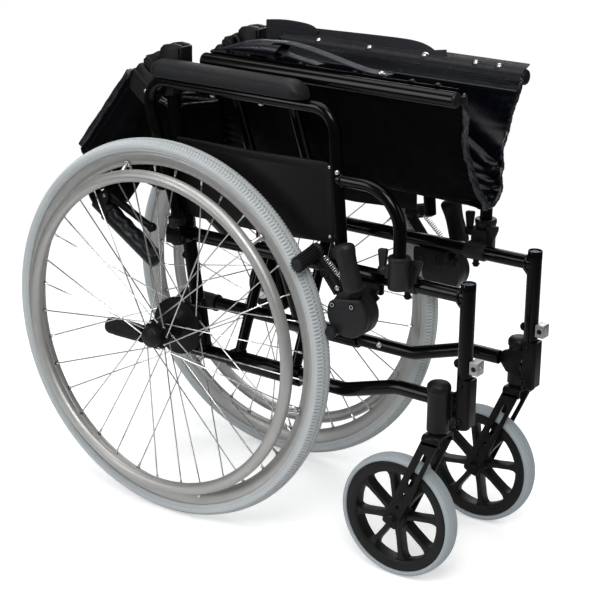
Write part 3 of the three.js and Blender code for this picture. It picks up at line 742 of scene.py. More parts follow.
def rear_tyre(side, s):
    half = [(284.6, 13.0), (286.2, 14.9), (288.5, 15.9), (289.4, 15.6), (290.4, 16.2), (293, 16.7),
            (295.6, 16.6),
            (297.6, 16.0), (299.2, 14.9), (300.4, 13.6), (300.7, 13.2), (302.2, 10.4), (303.3, 8.0), (303.4,
                    7.4),
            (304.1, 5.2), (304.2, 4.7), (302.9, 4.3), (302.9, 3.4), (304.7, 3.0), (305, 0)]
    profile = np.array(half + [(r, -x) for r, x in reversed(half[:-1])])
    lug = np.zeros(len(profile))
    depth = np.abs(profile[:, 1])
    lug[(depth < 15.2) & (depth > 7.9) & (profile[:, 0] > 298)] = 1
    lug[(depth < 7.7) & (depth > 4.4) & (profile[:, 0] > 303.2)] = 2
    rings = tyre_rings(profile, lug, 1344, 336)
    p = Piece("tyre", side)
    p.add(TYRE, skin(rings, loop=True))
    p.make("tyre_grey", f"wheel_{s}", [f"rear_tyre_{s}"], crease=28)


def rear_rim(side, s):
    half = [(264, 0), (264.2, 3), (265.4, 5.8), (268, 8), (271, 9.8), (275, 11.2), (279, 12.2), (283.4, 12.4),
            (284.4, 12.0), (284.2, 11)]
    profile = half + [(r, -x) for r, x in reversed(half[1:])]
    p = Piece("rim", side)
    p.add(ALLOY, lathe(profile, WHEEL, count=160, closed=True))
    for k in range(SPOKES):
        a = TAU * (k + 0.5) / SPOKES
        e = np.array([0, math.cos(a), math.sin(a)])
        x = 2.5 if k % 2 else -2.5
        p.add(FORK, lathe([(0, 0), (3.1, 0), (3.1, 0.6), (0, 0.6)], WHEEL + e * (NIPPLE_R - 0.6) + (x, 0, 0),
                          -e, 12))
    p.make("alloy", f"wheel_{s}", [f"rear_rim_{s}"])


def spokes(p):
    """Spokes laced in pairs that cross, each with its nipple at the rim and its head at the flange."""
    for k in range(SPOKES):
        outer = k % 2
        radius, x = (21.0, 25.0) if outer else (41.5, -27.0)
        lean = math.radians(62 if (k // 2) % 2 else -62) * (1 if outer else 0.8)
        rim = TAU * (k + 0.5) / SPOKES
        hub = rim + lean
        shift = 2.6 if (k // 2) % 2 else -2.6
        a = WHEEL + (x + shift, radius * math.cos(hub), radius * math.sin(hub))
        e = np.array([0, math.cos(rim), math.sin(rim)])
        b = WHEEL + e * NIPPLE_R + (2.5 if outer else -2.5, 0, 0)
        p.add(STEEL, rod(a, b, 1.1, 0.3, 8))
        d = unit(a - b)
        p.add(STEEL, lathe([(0, 0), (2.1, 0), (2.1, 4), (1.6, 10), (1.3, 11), (0, 11)], b, d, 8))
        p.add(STEEL, lathe([(0, -1.3), (1.6, -1.3), (2.3, 0), (1.6, 1.3), (0, 1.3)], a, ACROSS, 8))


def rear_hub(side, s):
    p = Piece("hub_and_spokes", side)
    flange = [(14, 21.5), (20, 21.5), (23.4, 22.4), (24.4, 23.6), (24.4, 26.4), (23.4, 27.6), (16.5, 28.4),
              (16, 37),
              (15, 38), (6.5, 38), (6.5, 21.5)]
    shell = [(6.5, -20), (18, -20), (15.5, -12), (14.5, 0), (14.5, 14), (15.5, 21.8), (6.5, 21.8)]
    drum = [(6.5, -34), (43, -34), (45.6, -32.6), (46, -31), (44.2, -29.6), (44.2, -25), (46, -23.6),
            (45.6, -22),
            (40, -20.6), (22, -19), (18, -16), (6.5, -16)]
    for profile in (flange, shell, drum):
        p.add(FORK, lathe(profile, WHEEL, count=48, closed=True))
    for k in range(9):
        a = TAU * k / 9
        for material, r, x, outward, size in ((FORK, 18.8, 28.0, 1, 1.5), (STEEL, 34, -34.4, -1, 2.4)):
            p.add(material, dome(WHEEL + (x, r * math.cos(a), r * math.sin(a)), (outward, 0, 0), size, 1.2,
                                 10))
    spokes(p)
    p.make("steel", f"wheel_{s}", [f"rear_hub_and_spokes_{s}"])


def handrim(side, s):
    p = Piece("handrim", side)
    path = [(WHEEL[0] + HANDRIM_SHIFT, y, z) for y, z in ring_outline(WHEEL[1], WHEEL[2], HANDRIM_R, 160)]
    p.add(ALLOY, sweep(path, circle(HANDRIM_TUBE, 24), loop=True, up=ACROSS))
    for k in range(HANDRIM_POSTS):
        t = TAU * (k + 0.25) / HANDRIM_POSTS
        e = np.array([0, math.cos(t), math.sin(t)])
        inner, outer = WHEEL + e * (HANDRIM_R + 16) + (9, 0, 0), WHEEL + e * (HANDRIM_R + 4) + (25, 0, 0)
        p.add(STEEL, rod(inner, outer, 3.6, 0.5, 16))
        p.add(STEEL, lathe([(0, 0), (6.2, 0), (6.2, 1.6), (4.6, 3), (0, 3)], inner, outer - inner, 20))
        cup = [(0, 0), (5.2, 0), (5.8, 2), (4.6, 5.5), (0, 5.5)]
        p.add(ALLOY, lathe(cup, outer + (outer - inner) * 0.12, inner - outer, 20))
    p.make("alloy", f"wheel_{s}", [f"handrim_{s}"])


def rear_axle(side, s):
    p = Piece("axle", side)
    cap = [(0, 47), (8, 47), (9, 46.4), (13.2, 46.2), (15.4, 44.8), (16.6, 42.2), (17, 38.5), (0, 38.5)]
    p.add(PLASTIC, lathe(cap, WHEEL, count=40))
    p.add(STEEL, rod(WHEEL + (-66, 0, 0), WHEEL + (40, 0, 0), 6, 1))
    p.add(STEEL, *hexagon(WHEEL + (-58.8, 0, 0), (-1, 0, 0), 11, 9))
    p.add(FORK, lathe([(6.2, -51), (14, -51), (16, -47), (40, -40), (42, -38), (42, -35.2), (6.2, -35.2)],
                      WHEEL,
                      count=40, closed=True))
    arm = fillet([(-4, 296), (9, 296), (16, 352), (4, 356)], 5)
    p.add(FORK, slab(arm, OUT + 6, OUT + 10))
    p.make("plastic_black", f"side_{s}", [f"rear_axle_{s}"])


# ---------------------------------------------------------------- caster
def caster_housing(side, s):
    p = Piece("caster_housing", side)
    profile = [(0, 246), (14.6, 246), (16, 247.4), (16, 306), (16.6, 308), (17.6, 309), (17.8, 314),
               (17, 317.4),
               (14.4, 320.4), (9, 322.4), (0, 323.2)]
    p.add(PLASTIC, lathe(profile, (STEM[0], STEM[1], 0), (0, 0, 1), 40))
    web = fillet([(POST_Y + 9, 270), (-490, 262), (-462, 266), (-452, 279), (-452, 297), (-470, 304),
                  (POST_Y + 9, 306)], 4)
    p.add(FORK, slab(web, OUT + 5, STEM[0] - 6, 1.2))
    channel = [(-12, 6), (-12, -12), (-9, -15.5), (9, -15.5), (12, -12), (12, 6), (9.4, 6), (9.4, -12),
               (-9.4, -12), (-9.4, 6)]
    rings = [[(OUT + a, POST_Y + b, z) for a, b in fillet(channel, 1)] for z in (256, 257, 327, 328)]
    inset = np.array(rings)
    middle = inset.mean(1, keepdims=True)
    inset[[0, 3]] = middle[[0, 3]] + (inset[[0, 3]] - middle[[0, 3]]) * (0.985, 0.96, 1)
    p.add(FORK, skin(inset, caps=True))
    for z in (264, 318):
        p.add(FORK, *[dome((OUT + 12 * d, POST_Y, z), (d, 0, 0), 4.6, 4) for d in (1, -1)])
    p.add(FORK, dome((OUT + 14, -470, 296), ACROSS, 4.5, 4))
    tooth = [(0, 0), (5, 2.5), (0, 5)]
    for k in range(5):
        ridge = [(POST_Y + 6 + a, 268 + 9 * k + b) for a, b in tooth]
        p.add(FORK, slab(ridge, OUT + 7, OUT + 12, 0.3))
    p.make("plastic_black", f"side_{s}", [f"caster_housing_{s}"])


def caster_fork(side, s):
    p = Piece("fork", side)
    start, (front, rear) = (STEM[1], FORK_TOP - 16), FORK_EDGES
    d = unit(np.subtract(CASTER[1:], start))
    tips = [step_from(CASTER[1:], d, 13, aside) for aside in (13.2, -13.2)]
    leg = fillet([(front, FORK_TOP - 8), (rear, FORK_TOP - 8), *tips], [1, 3, 5, 5])
    slot, half_width = [], 4.2
    for along, turn in ((18, math.pi), (72, 0.0)):
        (y, z), base = step_from(start, d, along), math.atan2(d[1], d[0]) + turn
        slot += [(y + half_width * math.cos(base + t), z + half_width * math.sin(base + t))
                 for t in np.linspace(-math.pi / 2, math.pi / 2, 7)]
    holes = [slot] + [ring_outline(*step_from(start, d, along), 2.9, 14) for along in (94, 119)]
    lo, hi, top = STEM[0] - FORK_HALF, STEM[0] + FORK_HALF, FORK_TOP
    p.add(FORK, slab(leg, lo, lo + FORK_PLATE, 0.7, holes), slab(leg, hi - FORK_PLATE, hi, 0.7, holes))
    crown = fillet([(lo, top - 14), (lo, top + 1), (hi, top + 1), (hi, top - 14), (hi - FORK_PLATE, top - 14),
                    (hi - FORK_PLATE, top - 4), (lo + FORK_PLATE, top - 4), (lo + FORK_PLATE, top - 14)],
                   [1, 8, 8, 1, 1, 4, 4, 1])
    p.add(FORK, slab(crown, front, rear, 0.8, axis="y"))
    p.add(FORK, rod((STEM[0], STEM[1], top), (STEM[0], STEM[1], top + 3.8), 13, 1))
    p.make("fork_black", f"caster_fork_{s}", [f"caster_fork_{s}"])
    a = Piece("caster_axle", side)
    a.add(STEEL, rod(CASTER + (-25, 0, 0), CASTER + (25, 0, 0), 4, 0.5))
    a.add(FORK, *hexagon(CASTER + (22.2, 0, 0), ACROSS, 7, 6.4))
    a.add(FORK, *hexagon(CASTER + (-22.2, 0, 0), (-1, 0, 0), 7, 5))
    a.add(FORK, rod(CASTER + (16.6, 0, 0), CASTER + (18, 0, 0), 8), rod(CASTER + (-18, 0, 0),
            CASTER + (-16.6, 0, 0), 8))
    a.make("steel", f"caster_fork_{s}", [f"caster_axle_{s}"])


def caster_wheel(side, s):
    p = Piece("caster_rim", side)
    ring = [(69.6, -6), (69, 0), (69.6, 6), (70.4, 10), (72.4, 11.6), (75, 12), (84.6, 12.4), (86.4, 11.4),
            (86.6, 10),
            (86.6, -10), (86.4, -11.4), (84.6, -12.4), (75, -12), (72.4, -11.6), (70.4, -10)]
    p.add(PLASTIC, lathe(ring, CASTER, count=96, closed=True))
    hub = [(4.6, -16.4), (12, -16.4), (13, -15.4), (13, -14), (17.2, -13), (18, -10), (18, 10), (17.2, 13),
           (13, 14),
           (13, 15.4), (12, 16.4), (4.6, 16.4)]
    p.add(PLASTIC, lathe(hub, CASTER, count=40, closed=True))
    edge = [(14, -6.4), (22, -4.4), (34, -3.6), (58, -3.9), (65, -5.2), (68.5, -7.4), (70.5, -10.5)]
    spoke = edge + [(r, -t) for r, t in reversed(edge)]
    for k in range(CASTER_SPOKES):
        a = TAU * (k + CASTER_SPOKE_PHASE) / CASTER_SPOKES
        c, q = math.cos(a), math.sin(a)
        outline = [(CASTER[1] + r * c - t * q, CASTER[2] + r * q + t * c) for r, t in spoke]
        p.add(PLASTIC, slab(outline, CASTER[0] - 9.5, CASTER[0] + 9.5, 1.2))
    p.make("plastic_black", f"caster_wheel_{s}", [f"caster_rim_{s}"])
    t = Piece("caster_tyre", side)
    half = [(86.9, 0), (87, 11), (87.4, 12.8), (88.4, 13.7), (89.8, 14), (91.4, 13.7), (92.9, 12.7),
            (94.1, 11.1),
            (94.9, 9.3), (94.2, 8.8), (94.2, 8.2), (95.3, 7.5), (95.7, 5.2), (94.9, 4.7), (94.9, 4.1), (95.9,
                    3.4),
            (96.0, 1.0), (95.2, 0.5)]
    profile = half + [(r, -x) for r, x in reversed(half[1:])]
    t.add(CASTER_TYRE, lathe(profile, CASTER, count=128, closed=True))
    t.make("caster_tyre", f"caster_wheel_{s}", [f"caster_tyre_{s}"], crease=50)


# ---------------------------------------------------------------- wheel lock
def lock_body(side, s):
    p = Piece("lock_body", side)
    (y, z), r = LOCK[1:] + np.array([-1.0, 5.0]), LOCK_R
    rear_top, front_top = math.radians(36), math.radians(127)
    cover = [(y + r * math.cos(t), z + r * math.sin(t)) for t in np.linspace(front_top,
            TAU + math.radians(24), 36)]
    cover.append((y + 22, z + 21.5))
    p.add(LOCK_GREY, slab(fillet(cover, 3), 137.4, 147.0, 3.6))
    p.add(LOCK_GREY, slab(ring_outline(y, z, r, 40), 112, 134.5, 2.4))
    arc = np.linspace(front_top + 0.2, TAU + rear_top - 0.2, 36)
    wall = [(y + q * math.cos(t), z + q * math.sin(t)) for q, turn in ((r - 0.8, arc), (r - 5, arc[::-1]))
            for t in turn]
    p.add(LOCK_GREY, slab(wall, 132, 140))
    p.add(LOCK_GREY, rod((120, y, z - 16), (142, y, z - 16), 15, 1))
    for dy, dz in ((25, 11.5), (-8.5, 14.5)):
        at = (146.4, y + dy, z + dz)
        # A black ring round each screw head is painted shade standing for the screw's recess.
        p.add(FORK, collar(at, ACROSS, 4, 5.8, -1, 0.9))
        p.add(FORK, dome(at, ACROSS, 3.4, 1.0))
        p.add(STEEL, collar(at, ACROSS, 2.3, 3.3, 0, 1.3, 20))
    knob = [(0, 0), (8, 0), (8.4, 1), (8.4, 30), (9.1, 31), (9.1, 35.6), (8, 37.6), (6.6, 37.6), (6, 36.6),
            (0, 36.6)]
    p.add(LOCK_GREY, lathe(knob, LOCK_KNOB, count=28))
    p.add(LOCK_GREY, brick(np.add(LOCK_KNOB, (-6, -13, -4)), np.add(LOCK_KNOB, (8, 3, 10)), 3))
    p.add(LOCK_GREY, brick((88, -352, 421), (116, -306, 440.5), 2.5))
    p.add(FORK, slab(fillet([(-356, 418), (-300, 418), (-300, 442), (-356, 442)], 4), 83.6, 88.6, 1))
    for dy in (-344, -314):
        p.add(FORK, dome((83.8, dy, 429), (-1, 0, 0), 4.4, 2.4))
    catch = [(-340, 434), (-364, 435), (-359, 427), (-365, 422), (-358, 414), (-340, 416)]
    p.add(FORK, slab(catch, 108, 114, 0.8))
    p.add(STEEL, rod((124, LOCK_ARM[1], LOCK_ARM[2]), (134.5, LOCK_ARM[1], LOCK_ARM[2]), 4, 0.6))
    p.make("plastic_black", f"side_{s}", [f"lock_body_{s}"])


def lock_lever(side, s):
    p = Piece("lock_lever", side)
    low, high = np.array((148.0, -345.5, 441)), np.array((148.0, -324, 506.5))
    d = unit(high - low)
    length = np.linalg.norm(high - low)
    stations = [(-3, 10), (-1.5, 13.4), (2, 15.2), (8, 15.8), (20, 15.0), (32, 14.4), (42, 15.2), (49, 16.6),
                (54, 17),
                (57, 15.6), (59.2, 12), (60.4, 5)]
    path = [low + d * length * t / 60 for t, _ in stations]
    sections = [circle(r, 28) * (0.9, 1.0) for _, r in stations]
    p.add(LOCK_GREY, sweep(path, sections, up=(0, 1, 0)))
    blade = fillet([(-339, 388), (-322, 388), (-332, 430), (-338, 452), (-354, 448)], 4)
    p.add(FORK, slab(blade, 135.6, 140.4, 0.6), brick((139, -352, 438), (150, -338, 452), 3))
    p.make("plastic_black", f"lock_lever_{s}", [f"lock_lever_{s}"])


def coil(a, b, radius, wire, turns):
    a, b = np.asarray(a, float), np.asarray(b, float)
    d = unit(b - a)
    u = unit(np.cross(d, (0, 0.3, 1)))
    v = np.cross(d, u)
    t = np.linspace(0, 1, int(turns * 12) + 1)[:, None]
    angle = t * TAU * turns
    path = a + (b - a) * t + radius * (np.cos(angle) * u + np.sin(angle) * v)
    return sweep(path, circle(wire, 6), up=d)


def roller_foot(foot):
    """The ribbed foot that presses on the tyre: a toothed roller, its end disc and its rounded knuckle.
    It leans, outer end down."""
    inner, outer, teeth = 131.0, 182.0, 16
    outline = []
    for k in range(teeth):
        for t, r in ((0.0, 11.6), (0.4, 11.6), (0.5, 8.8), (0.9, 8.8)):
            a = TAU * (k + t) / teeth
            outline.append((foot[0] + r * math.cos(a), foot[1] + r * math.sin(a)))
    shells = [slab(outline, inner, outer, 0.4), rod(flat(outer - 2, foot), flat(outer + 0.8, foot), 8.6, 0.8,
                                                    28),
              lathe([(0, -8), (8, -7), (11, -3.5), (12.2, 0), (12, 3), (10, 5), (0, 5)], flat(inner, foot),
                    count=28)]
    return [(points + np.outer(points[:, 0] - inner, (0, -0.04, -0.17)), faces) for points, faces in shells]


def lock_arm(side, s):
    p = Piece("lock_arm", side)
    pivot = LOCK_ARM[1:]
    foot = np.array(LOCK_FOOT)
    d = unit(foot - pivot)
    for aside in (-9.4, 0.6):
        corners = ((-6, aside - 2.4), (60, aside - 2.4), (60, aside + 2.4), (-6, aside + 2.4))
        p.add(LOCK_GREY, slab([step_from(pivot, d, *q) for q in corners], 126, 133.6, 1))
    web = [step_from(pivot, d, *q) for q in ((-8, -10), (56, -10), (56, 1.5), (-8, 1.5))]
    p.add(LOCK_GREY, slab(fillet(web, 4), 127, 130.4))
    boss = step_from(pivot, d, 29, -5.5)
    p.add(LOCK_GREY, rod(flat(125.5, boss), flat(136, boss), 7, 1))
    p.add(FORK, collar(flat(135.8, boss), ACROSS, 2.4, 4.4, 0, 0.9, 20))
    roller = roller_foot(foot)
    p.add(RUBBER, roller[0])
    p.add(LOCK_GREY, *roller[1:])
    p.add(STEEL, coil((136.5, -318, 448), (136.5, -285, 477), 3.6, 0.8, 13))
    p.make("plastic_black", f"lock_arm_{s}", [f"lock_arm_{s}", f"lock_spring_{s}"])


# ---------------------------------------------------------------- armrest
def armrest_frame(side, s):
    p = Piece("armrest_tube", side)
    loop = [(3, 438), (3, 492), (66, ARM_TOP), (-286, ARM_TOP), (-305, 484)]
    branch = [(-297, BRANCH_Z), (SOCKET_Y, BRANCH_Z), (SOCKET_Y, 455)]
    p.add(BLACK, tube([flat(ARM_OUT, q) for q in loop], ARM_TUBE, 34, step=0.1))
    p.add(BLACK, tube([flat(ARM_OUT, q) for q in branch], ARM_TUBE, 64, step=0.08))
    p.add(BLACK, bead((ARM_OUT, -304.6, BRANCH_Z), (0, 1, 0), ARM_TUBE, 1.3))
    p.add(STEEL, dome((ARM_OUT + 7.4, -299.6, 603.5), (0.8, -0.6, 0.1), 3.6, 2.4))
    for y in (-70, -160):
        p.add(STEEL, dome((ARM_OUT + 3, y, ARM_TOP - 9.3), (0.25, 0, -1), 4.2, 2.6))
    p.make("frame_black", f"armrest_{s}", [f"armrest_frame_{s}"])


def armrest_pad(side, s):
    """Moulded arm pad: flat below, crowned above, with a full round nose and a parting line."""
    lo, hi = node_box(f"armrest_pad_{s}")
    rear, front, base = hi[1] - 0.5, lo[1] + 0.5, lo[2]
    length, height = rear - front, hi[2] - lo[2] + 1.0
    rings = []
    for t in np.concatenate([np.linspace(0, 0.16, 14), np.linspace(0.2, 0.8, 12), np.linspace(0.84, 1, 14)]):
        y = front + t * length
        nose, tail = (y - front) / 26.0, (rear - y) / 22.0
        plan = math.prod(math.sqrt(max(0.0, 1 - max(0.0, 1 - end) ** 2.6)) for end in (nose, tail))
        crown = (1 - max(0.0, 1 - (y - front) / 34.0) ** 2.4) * (1 - 0.8
                * max(0.0, 1 - (rear - y) / 22.0) ** 2.4)
        crown = max(crown, 0.0) ** 0.6
        w, h = max(PAD_WIDTH / 2 * plan, 0.6), max(height * crown, 1.0)
        ring = []
        for k in range(36):
            a = TAU * k / 36
            c, q = math.cos(a), math.sin(a)
            power = 0.62 if q > 0 else 0.3
            x = w * math.copysign(abs(c) ** (0.72 if q > 0 else 0.35), c)
            z = (0.32 + 0.68 * abs(q) ** power) * h if q > 0 else 0.32 * h * (1 - abs(q) ** power)
            ring.append((PAD_OUT + x, y, base + z))
        rings.append(ring)
    p = Piece("arm_pad", side)
    p.add(VINYL, skin(rings, caps=True))
    p.make("pad_vinyl", f"armrest_{s}", [f"armrest_pad_{s}"], crease=60)


def skirt_guard(side, s):
    p = Piece("skirt_guard", side)
    outline = [(-287, 491), (-273, 611), (-140, 607), (20, 607), (6, 500), (-20, 484), (-174, 484)]
    p.add(GUARD, slab(fillet(outline, [6, 8, 400, 22, 20, 20, 60]), 110.2, 112.4, 0.6))
    hem = fillet([(-283, 592), (-273.5, 610.5), (-140, 606.6), (12, 606.6), (8, 594), (-140, 594.5),
                  (-262, 597.5), (-272, 520),
                  (-278, 492), (-286, 492)], [3, 7, 0, 12, 4, 0, 6, 40, 2, 2])
    p.add(GUARD, slab(hem, 110.6, 113.6, 0.8))
    for y, z in ((-279, 604), (-282, 500)):
        p.add(STEEL, dome((113.4, y + 4, z), ACROSS, 2.6, 1.2))
    p.make("guard_black", f"armrest_{s}", [f"skirt_guard_{s}"])


def armrest_socket(side, s):
    p = Piece("armrest_socket", side)
    profile = [(10.2, 448), (15, 448), (15.9, 450), (15.9, 488), (16.8, 490), (16.8, 494.6), (15.6, 496.4),
               (10.2, 496.4)]
    p.add(LOCK_GREY, lathe(profile, (ARM_OUT, SOCKET_Y, 0), UPWARD, 36, closed=True))
    p.add(LOCK_GREY, rod((OUT, SOCKET_Y - 17.4, RAIL_Z), (OUT, SOCKET_Y + 17.4, RAIL_Z), 13.4, 1.5))
    p.add(LOCK_GREY, brick((OUT + 4, -418, 452), (OUT + 15, -390, 482), 2.5), brick((OUT - 9, -416, 458),
            (OUT + 10, -392, 466), 2))
    p.add(LOCK_GREY, brick((ARM_OUT - 7, -391, 462), (ARM_OUT + 7, -384, 482), 1.5))
    ear = [(-414, 489.6), (-434, 491.6), (-433.5, 484), (-425.5, 463), (-425.5, 456), (-414, 456)]
    p.add(LOCK_GREY, slab(fillet(ear, [2, 2, 2, 6, 1, 1]), 105, 110.5, 1))
    p.add(FORK, dome((110.4, -423, 480), ACROSS, 3, 1.4))
    p.add(FORK, rod((OUT, SOCKET_Y, 429), (OUT, SOCKET_Y, 440), 4.6, 0.8))
    p.add(FORK, *hexagon((OUT, SOCKET_Y, 431), (0, 0, -1), 4.6, 5))
    p.make("plastic_black", f"side_{s}", [f"armrest_socket_{s}"])
    w = Piece("socket_screw", side)
    screw = (ARM_OUT, -383.4, 472.0)
    w.add(STEEL, rod((ARM_OUT, -391, 472), (ARM_OUT, -383, 472), 3))
    w.add(LOCK_GREY, lathe([(0, 0), (5.4, 0), (7, 1.8), (7.4, 5), (7, 9.6), (5.6, 12.6), (0, 13.4)], screw,
                           (0, 1, 0), 24))
    wing = fillet([(-381, 474), (-384, 504), (-368.5, 502.5), (-372, 474)], [2, 3, 3, 2])
    w.add(LOCK_GREY, slab(wing, ARM_OUT - 3.6, ARM_OUT + 3.6, 1.4))
    w.make("plastic_black", f"socket_screw_{s}", [f"socket_screw_{s}"])


# ---------------------------------------------------------------- folding back
def back_cane(side, s):
    p = Piece("cane", side)
    cane, handle = cane_direction(), handle_direction()
    line = [step_from(HINGE[1:], cane, 30), CORNER, step_from(GRIP[1], handle, -6)]
    p.add(BLACK, tube([flat(OUT, q) for q in line], TUBE, 34))
    knuckle = [step_from(HINGE[1:], cane, a, b) for a, b in ((-6, -7), (44, -10), (44, 10), (-6, 7))]
    p.add(PLASTIC, slab(fillet(knuckle, [6, 2, 2, 6]), OUT - 4.2, OUT + 4.2, 1))
    for spread, outline in ((15, [(31, -15), (30, 33), (37, 38), (52, 38), (72, 33), (80, 26), (80, -15)]),
                            (16.4, [(47, -16.4), (46, 39.6), (54, 39.6), (55, -16.4)])):
        lump = [step_from(HINGE[1:], cane, *q) for q in outline]
        p.add(PLASTIC, slab(fillet(lump, 6), OUT - spread, OUT + spread, 4 if spread == 15 else 1.6))
    p.add(STEEL, dome(flat(OUT + 15.5, step_from(HINGE[1:], cane, 58)), ACROSS, 4, 2.4))
    pivot = step_from(CORNER, handle, 42, -24)
    lug = [step_from(CORNER, handle, a, b) for a, b in ((30, -4), (54, -4), (50, -31), (34, -31))]
    for lo, hi in ((OUT - 11.5, OUT - 6), (OUT + 5.6, OUT + 10.8)):
        p.add(PLASTIC, slab(fillet(lug, [3, 3, 7, 7]), lo, hi, 1))
    p.add(PLASTIC, rod(flat(OUT, step_from(CORNER, handle, 30)), flat(OUT, step_from(CORNER, handle, 56)), 14,
                       1.4))
    p.add(STEEL, rod(flat(OUT - 12.4, pivot), flat(OUT + 11.6, pivot), 3, 0.8))
    p.make("frame_black", f"back_{s}", [f"back_cane_{s}"])


def push_grip(side, s):
    """Rubber grip with four finger hollows on the lever's side and a rounded end."""
    a, b = flat(OUT, GRIP[0]), flat(OUT, GRIP[1])
    d = unit(b - a)
    length = np.linalg.norm(b - a)
    up = np.array([0, d[2], -d[1]])
    if up[2] < 0:
        up = -up
    path, sections = [], []
    for t in np.linspace(0, 1, 64):
        x = t * length
        end = min(1.0, math.sqrt(max(0.0, 1 - max(0.0, 1 - (length - x) / 9.0) ** 2.4)))
        start = min(1.0, 0.8 + x / 10)
        r = 16.4 * end * start
        hollow = 2.6 * (0.5 - 0.5 * math.cos(TAU * (x - 8) / 25)) if 8 < x < 108 else 0.0
        ring = circle(1, 28)
        depth = np.clip(ring[:, 1], 0, 1) ** 1.5
        squash = np.stack([np.full(28, 0.88), np.full(28, 1.0)], 1)
        sections.append(ring * squash * (r - hollow * depth)[:, None] if r > 3 else ring * squash * r)
        path.append(a + d * x)
    p = Piece("push_grip", side)
    p.add(GRIP_RUBBER, sweep(path, sections, up=up))
    p.add(RUBBER, lathe([(11.2, -7), (15.5, -7), (16.6, -5), (16.6, -2), (15, 0.5), (11.2, 0.5)], a, d, 28,
                        closed=True))
    p.make("rubber_black", f"back_{s}", [f"push_grip_{s}"])


def brake_lever(side, s):
    p = Piece("brake_lever", side)
    handle = handle_direction()
    pivot = step_from(CORNER, handle, 42, -24)

    def across(along, aside):
        return step_from(pivot, handle, along, -aside)

    outline = [across(-10, -6), across(8, -7), across(30, -1), across(60, 4), across(92, 9), across(99, 12),
               across(101, 18),
               across(96, 21), across(84, 17), across(52, 13), across(24, 10), across(8, 9), across(-10, 7)]
    p.add(FORK, slab(fillet(outline, [5, 4, 30, 60, 10, 4, 4, 4, 30, 60, 40, 10, 5]), OUT - 5, OUT + 5, 2.2))
    p.add(FORK, lathe([(0, -5.6), (5.5, -5.6), (7, -4), (7, 4), (5.5, 5.6), (0, 5.6)],
                      flat(OUT, across(97, 15)), count=24))
    p.add(PLASTIC, rod(flat(OUT - 5.4, pivot), flat(OUT + 5.2, pivot), 8, 1))
    p.make("plastic_black", f"brake_lever_{s}", [f"brake_lever_{s}"])


# ---------------------------------------------------------------- cross frame
def cross_frame(letter, side, stations):
    p = Piece(f"cross_tubes_{letter}", side, suffix=False)
    end = stations[0] - stations[1] + 14
    sleeve = [(11.3, -14), (14.4, -14), (15, -13), (15, end - 1), (14.4, end), (11.3, end)]
    p.add(BLACK, lathe(sleeve, (OUT, stations[1], LOW_Z), (0, 1, 0), 32, closed=True))
    for y in stations:
        low, high = np.array((OUT - 4.6, y, LOW_Z + 11)), np.array((-OUT, y, SEAT_Z))
        p.add(BLACK, tube([low, high], CROSS_TUBE))
        d = unit(high - low)
        p.add(BLACK, bead(low + d * 4, d, CROSS_TUBE, 1.6), bead(high - d * 14, d, CROSS_TUBE, 1.6))
        middle = (low + high) / 2
        sections = circle(9.6)[None] * np.array([0.9, 1, 1, 0.9])[:, None, None]
        p.add(BLACK, sweep([middle + d * t for t in (-26, -24, 24, 26)], sections))
    p.add(BLACK, tube([(-OUT, SEAT_ENDS[0], SEAT_Z), (-OUT, SEAT_ENDS[1], SEAT_Z)], SEAT_R, count=32,
                      lip=0.6))
    for y, d in ((SEAT_ENDS[0], -1), (SEAT_ENDS[1], 1)):
        cap = [(0, 4.5), (7, 4.2), (10.4, 3), (11.8, 0.8), (11.8, -1), (0, -1)]
        p.add(PLASTIC, lathe(cap, (-OUT, y, SEAT_Z), (0, d, 0), 28))
    return p


def cross_frames():
    a = cross_frame("a", -1, CROSS_A)
    for y0, y1 in zip(CROSS_A, CROSS_B):
        a.add(STEEL, rod((0, y0 - 14, PIVOT_Z), (0, y1 + 14, PIVOT_Z), 4, 0.6))
        for y, d in ((y0 - 8.8, -1), (y1 + 8.8, 1)):
            a.add(STEEL, *hexagon((0, y, PIVOT_Z), (0, d, 0), 7.5, 7))
    a.make("frame_black", "cross_a", ["cross_frame_a", "centre_bolt_rear", "centre_bolt_front"])
    b = cross_frame("b", 1, CROSS_B)
    b.make("frame_black", "cross_b", ["cross_frame_b"])


# ---------------------------------------------------------------- cloth
def smooth_curve(points, count, rounds=2):
    """Points rounded off by cutting corners, then spaced evenly."""
    pts = np.asarray(points, float)
    for _ in range(rounds):
        a, b = pts[:-1], pts[1:]
        cut = np.stack([a * 0.75 + b * 0.25, a * 0.25 + b * 0.75], 1).reshape(-1, pts.shape[1])
        pts = np.concatenate([pts[:1], cut[1:-1], pts[-1:]])
    length = np.concatenate([[0], np.cumsum(np.linalg.norm(np.diff(pts, axis=0), axis=1))])
    at = np.linspace(0, length[-1], count)
    return np.stack([np.interp(at, length, pts[:, k]) for k in range(pts.shape[1])], 1)


def normals(grid):
    n = np.cross(np.gradient(grid, axis=0), np.gradient(grid, axis=1))
    return n / np.maximum(np.linalg.norm(n, axis=2, keepdims=True), 1e-9)


def sheet(grid, thickness):
    """A grid of points made into a closed cloth of even thickness."""
    n = normals(grid)
    top, low = grid + n * thickness / 2, grid - n * thickness / 2
    rows, cols = grid.shape[:2]
    index = np.arange(rows * cols).reshape(rows, cols)
    faces = []
    for i in range(rows - 1):
        for j in range(cols - 1):
            q = (index[i, j], index[i + 1, j], index[i + 1, j + 1], index[i, j + 1])
            faces.append(tuple(int(k) for k in q))
            faces.append(tuple(int(k) + rows * cols for k in reversed(q)))
    rim = list(index[0, :]) + list(index[1:, -1]) + list(index[-1, -2::-1]) + list(index[-2:0:-1, 0])
    for a, b in zip(rim, rim[1:] + rim[:1]):
        faces.append((int(a), int(b), int(b) + rows * cols, int(a) + rows * cols))
    return np.concatenate([top.reshape(-1, 3), low.reshape(-1, 3)]), faces


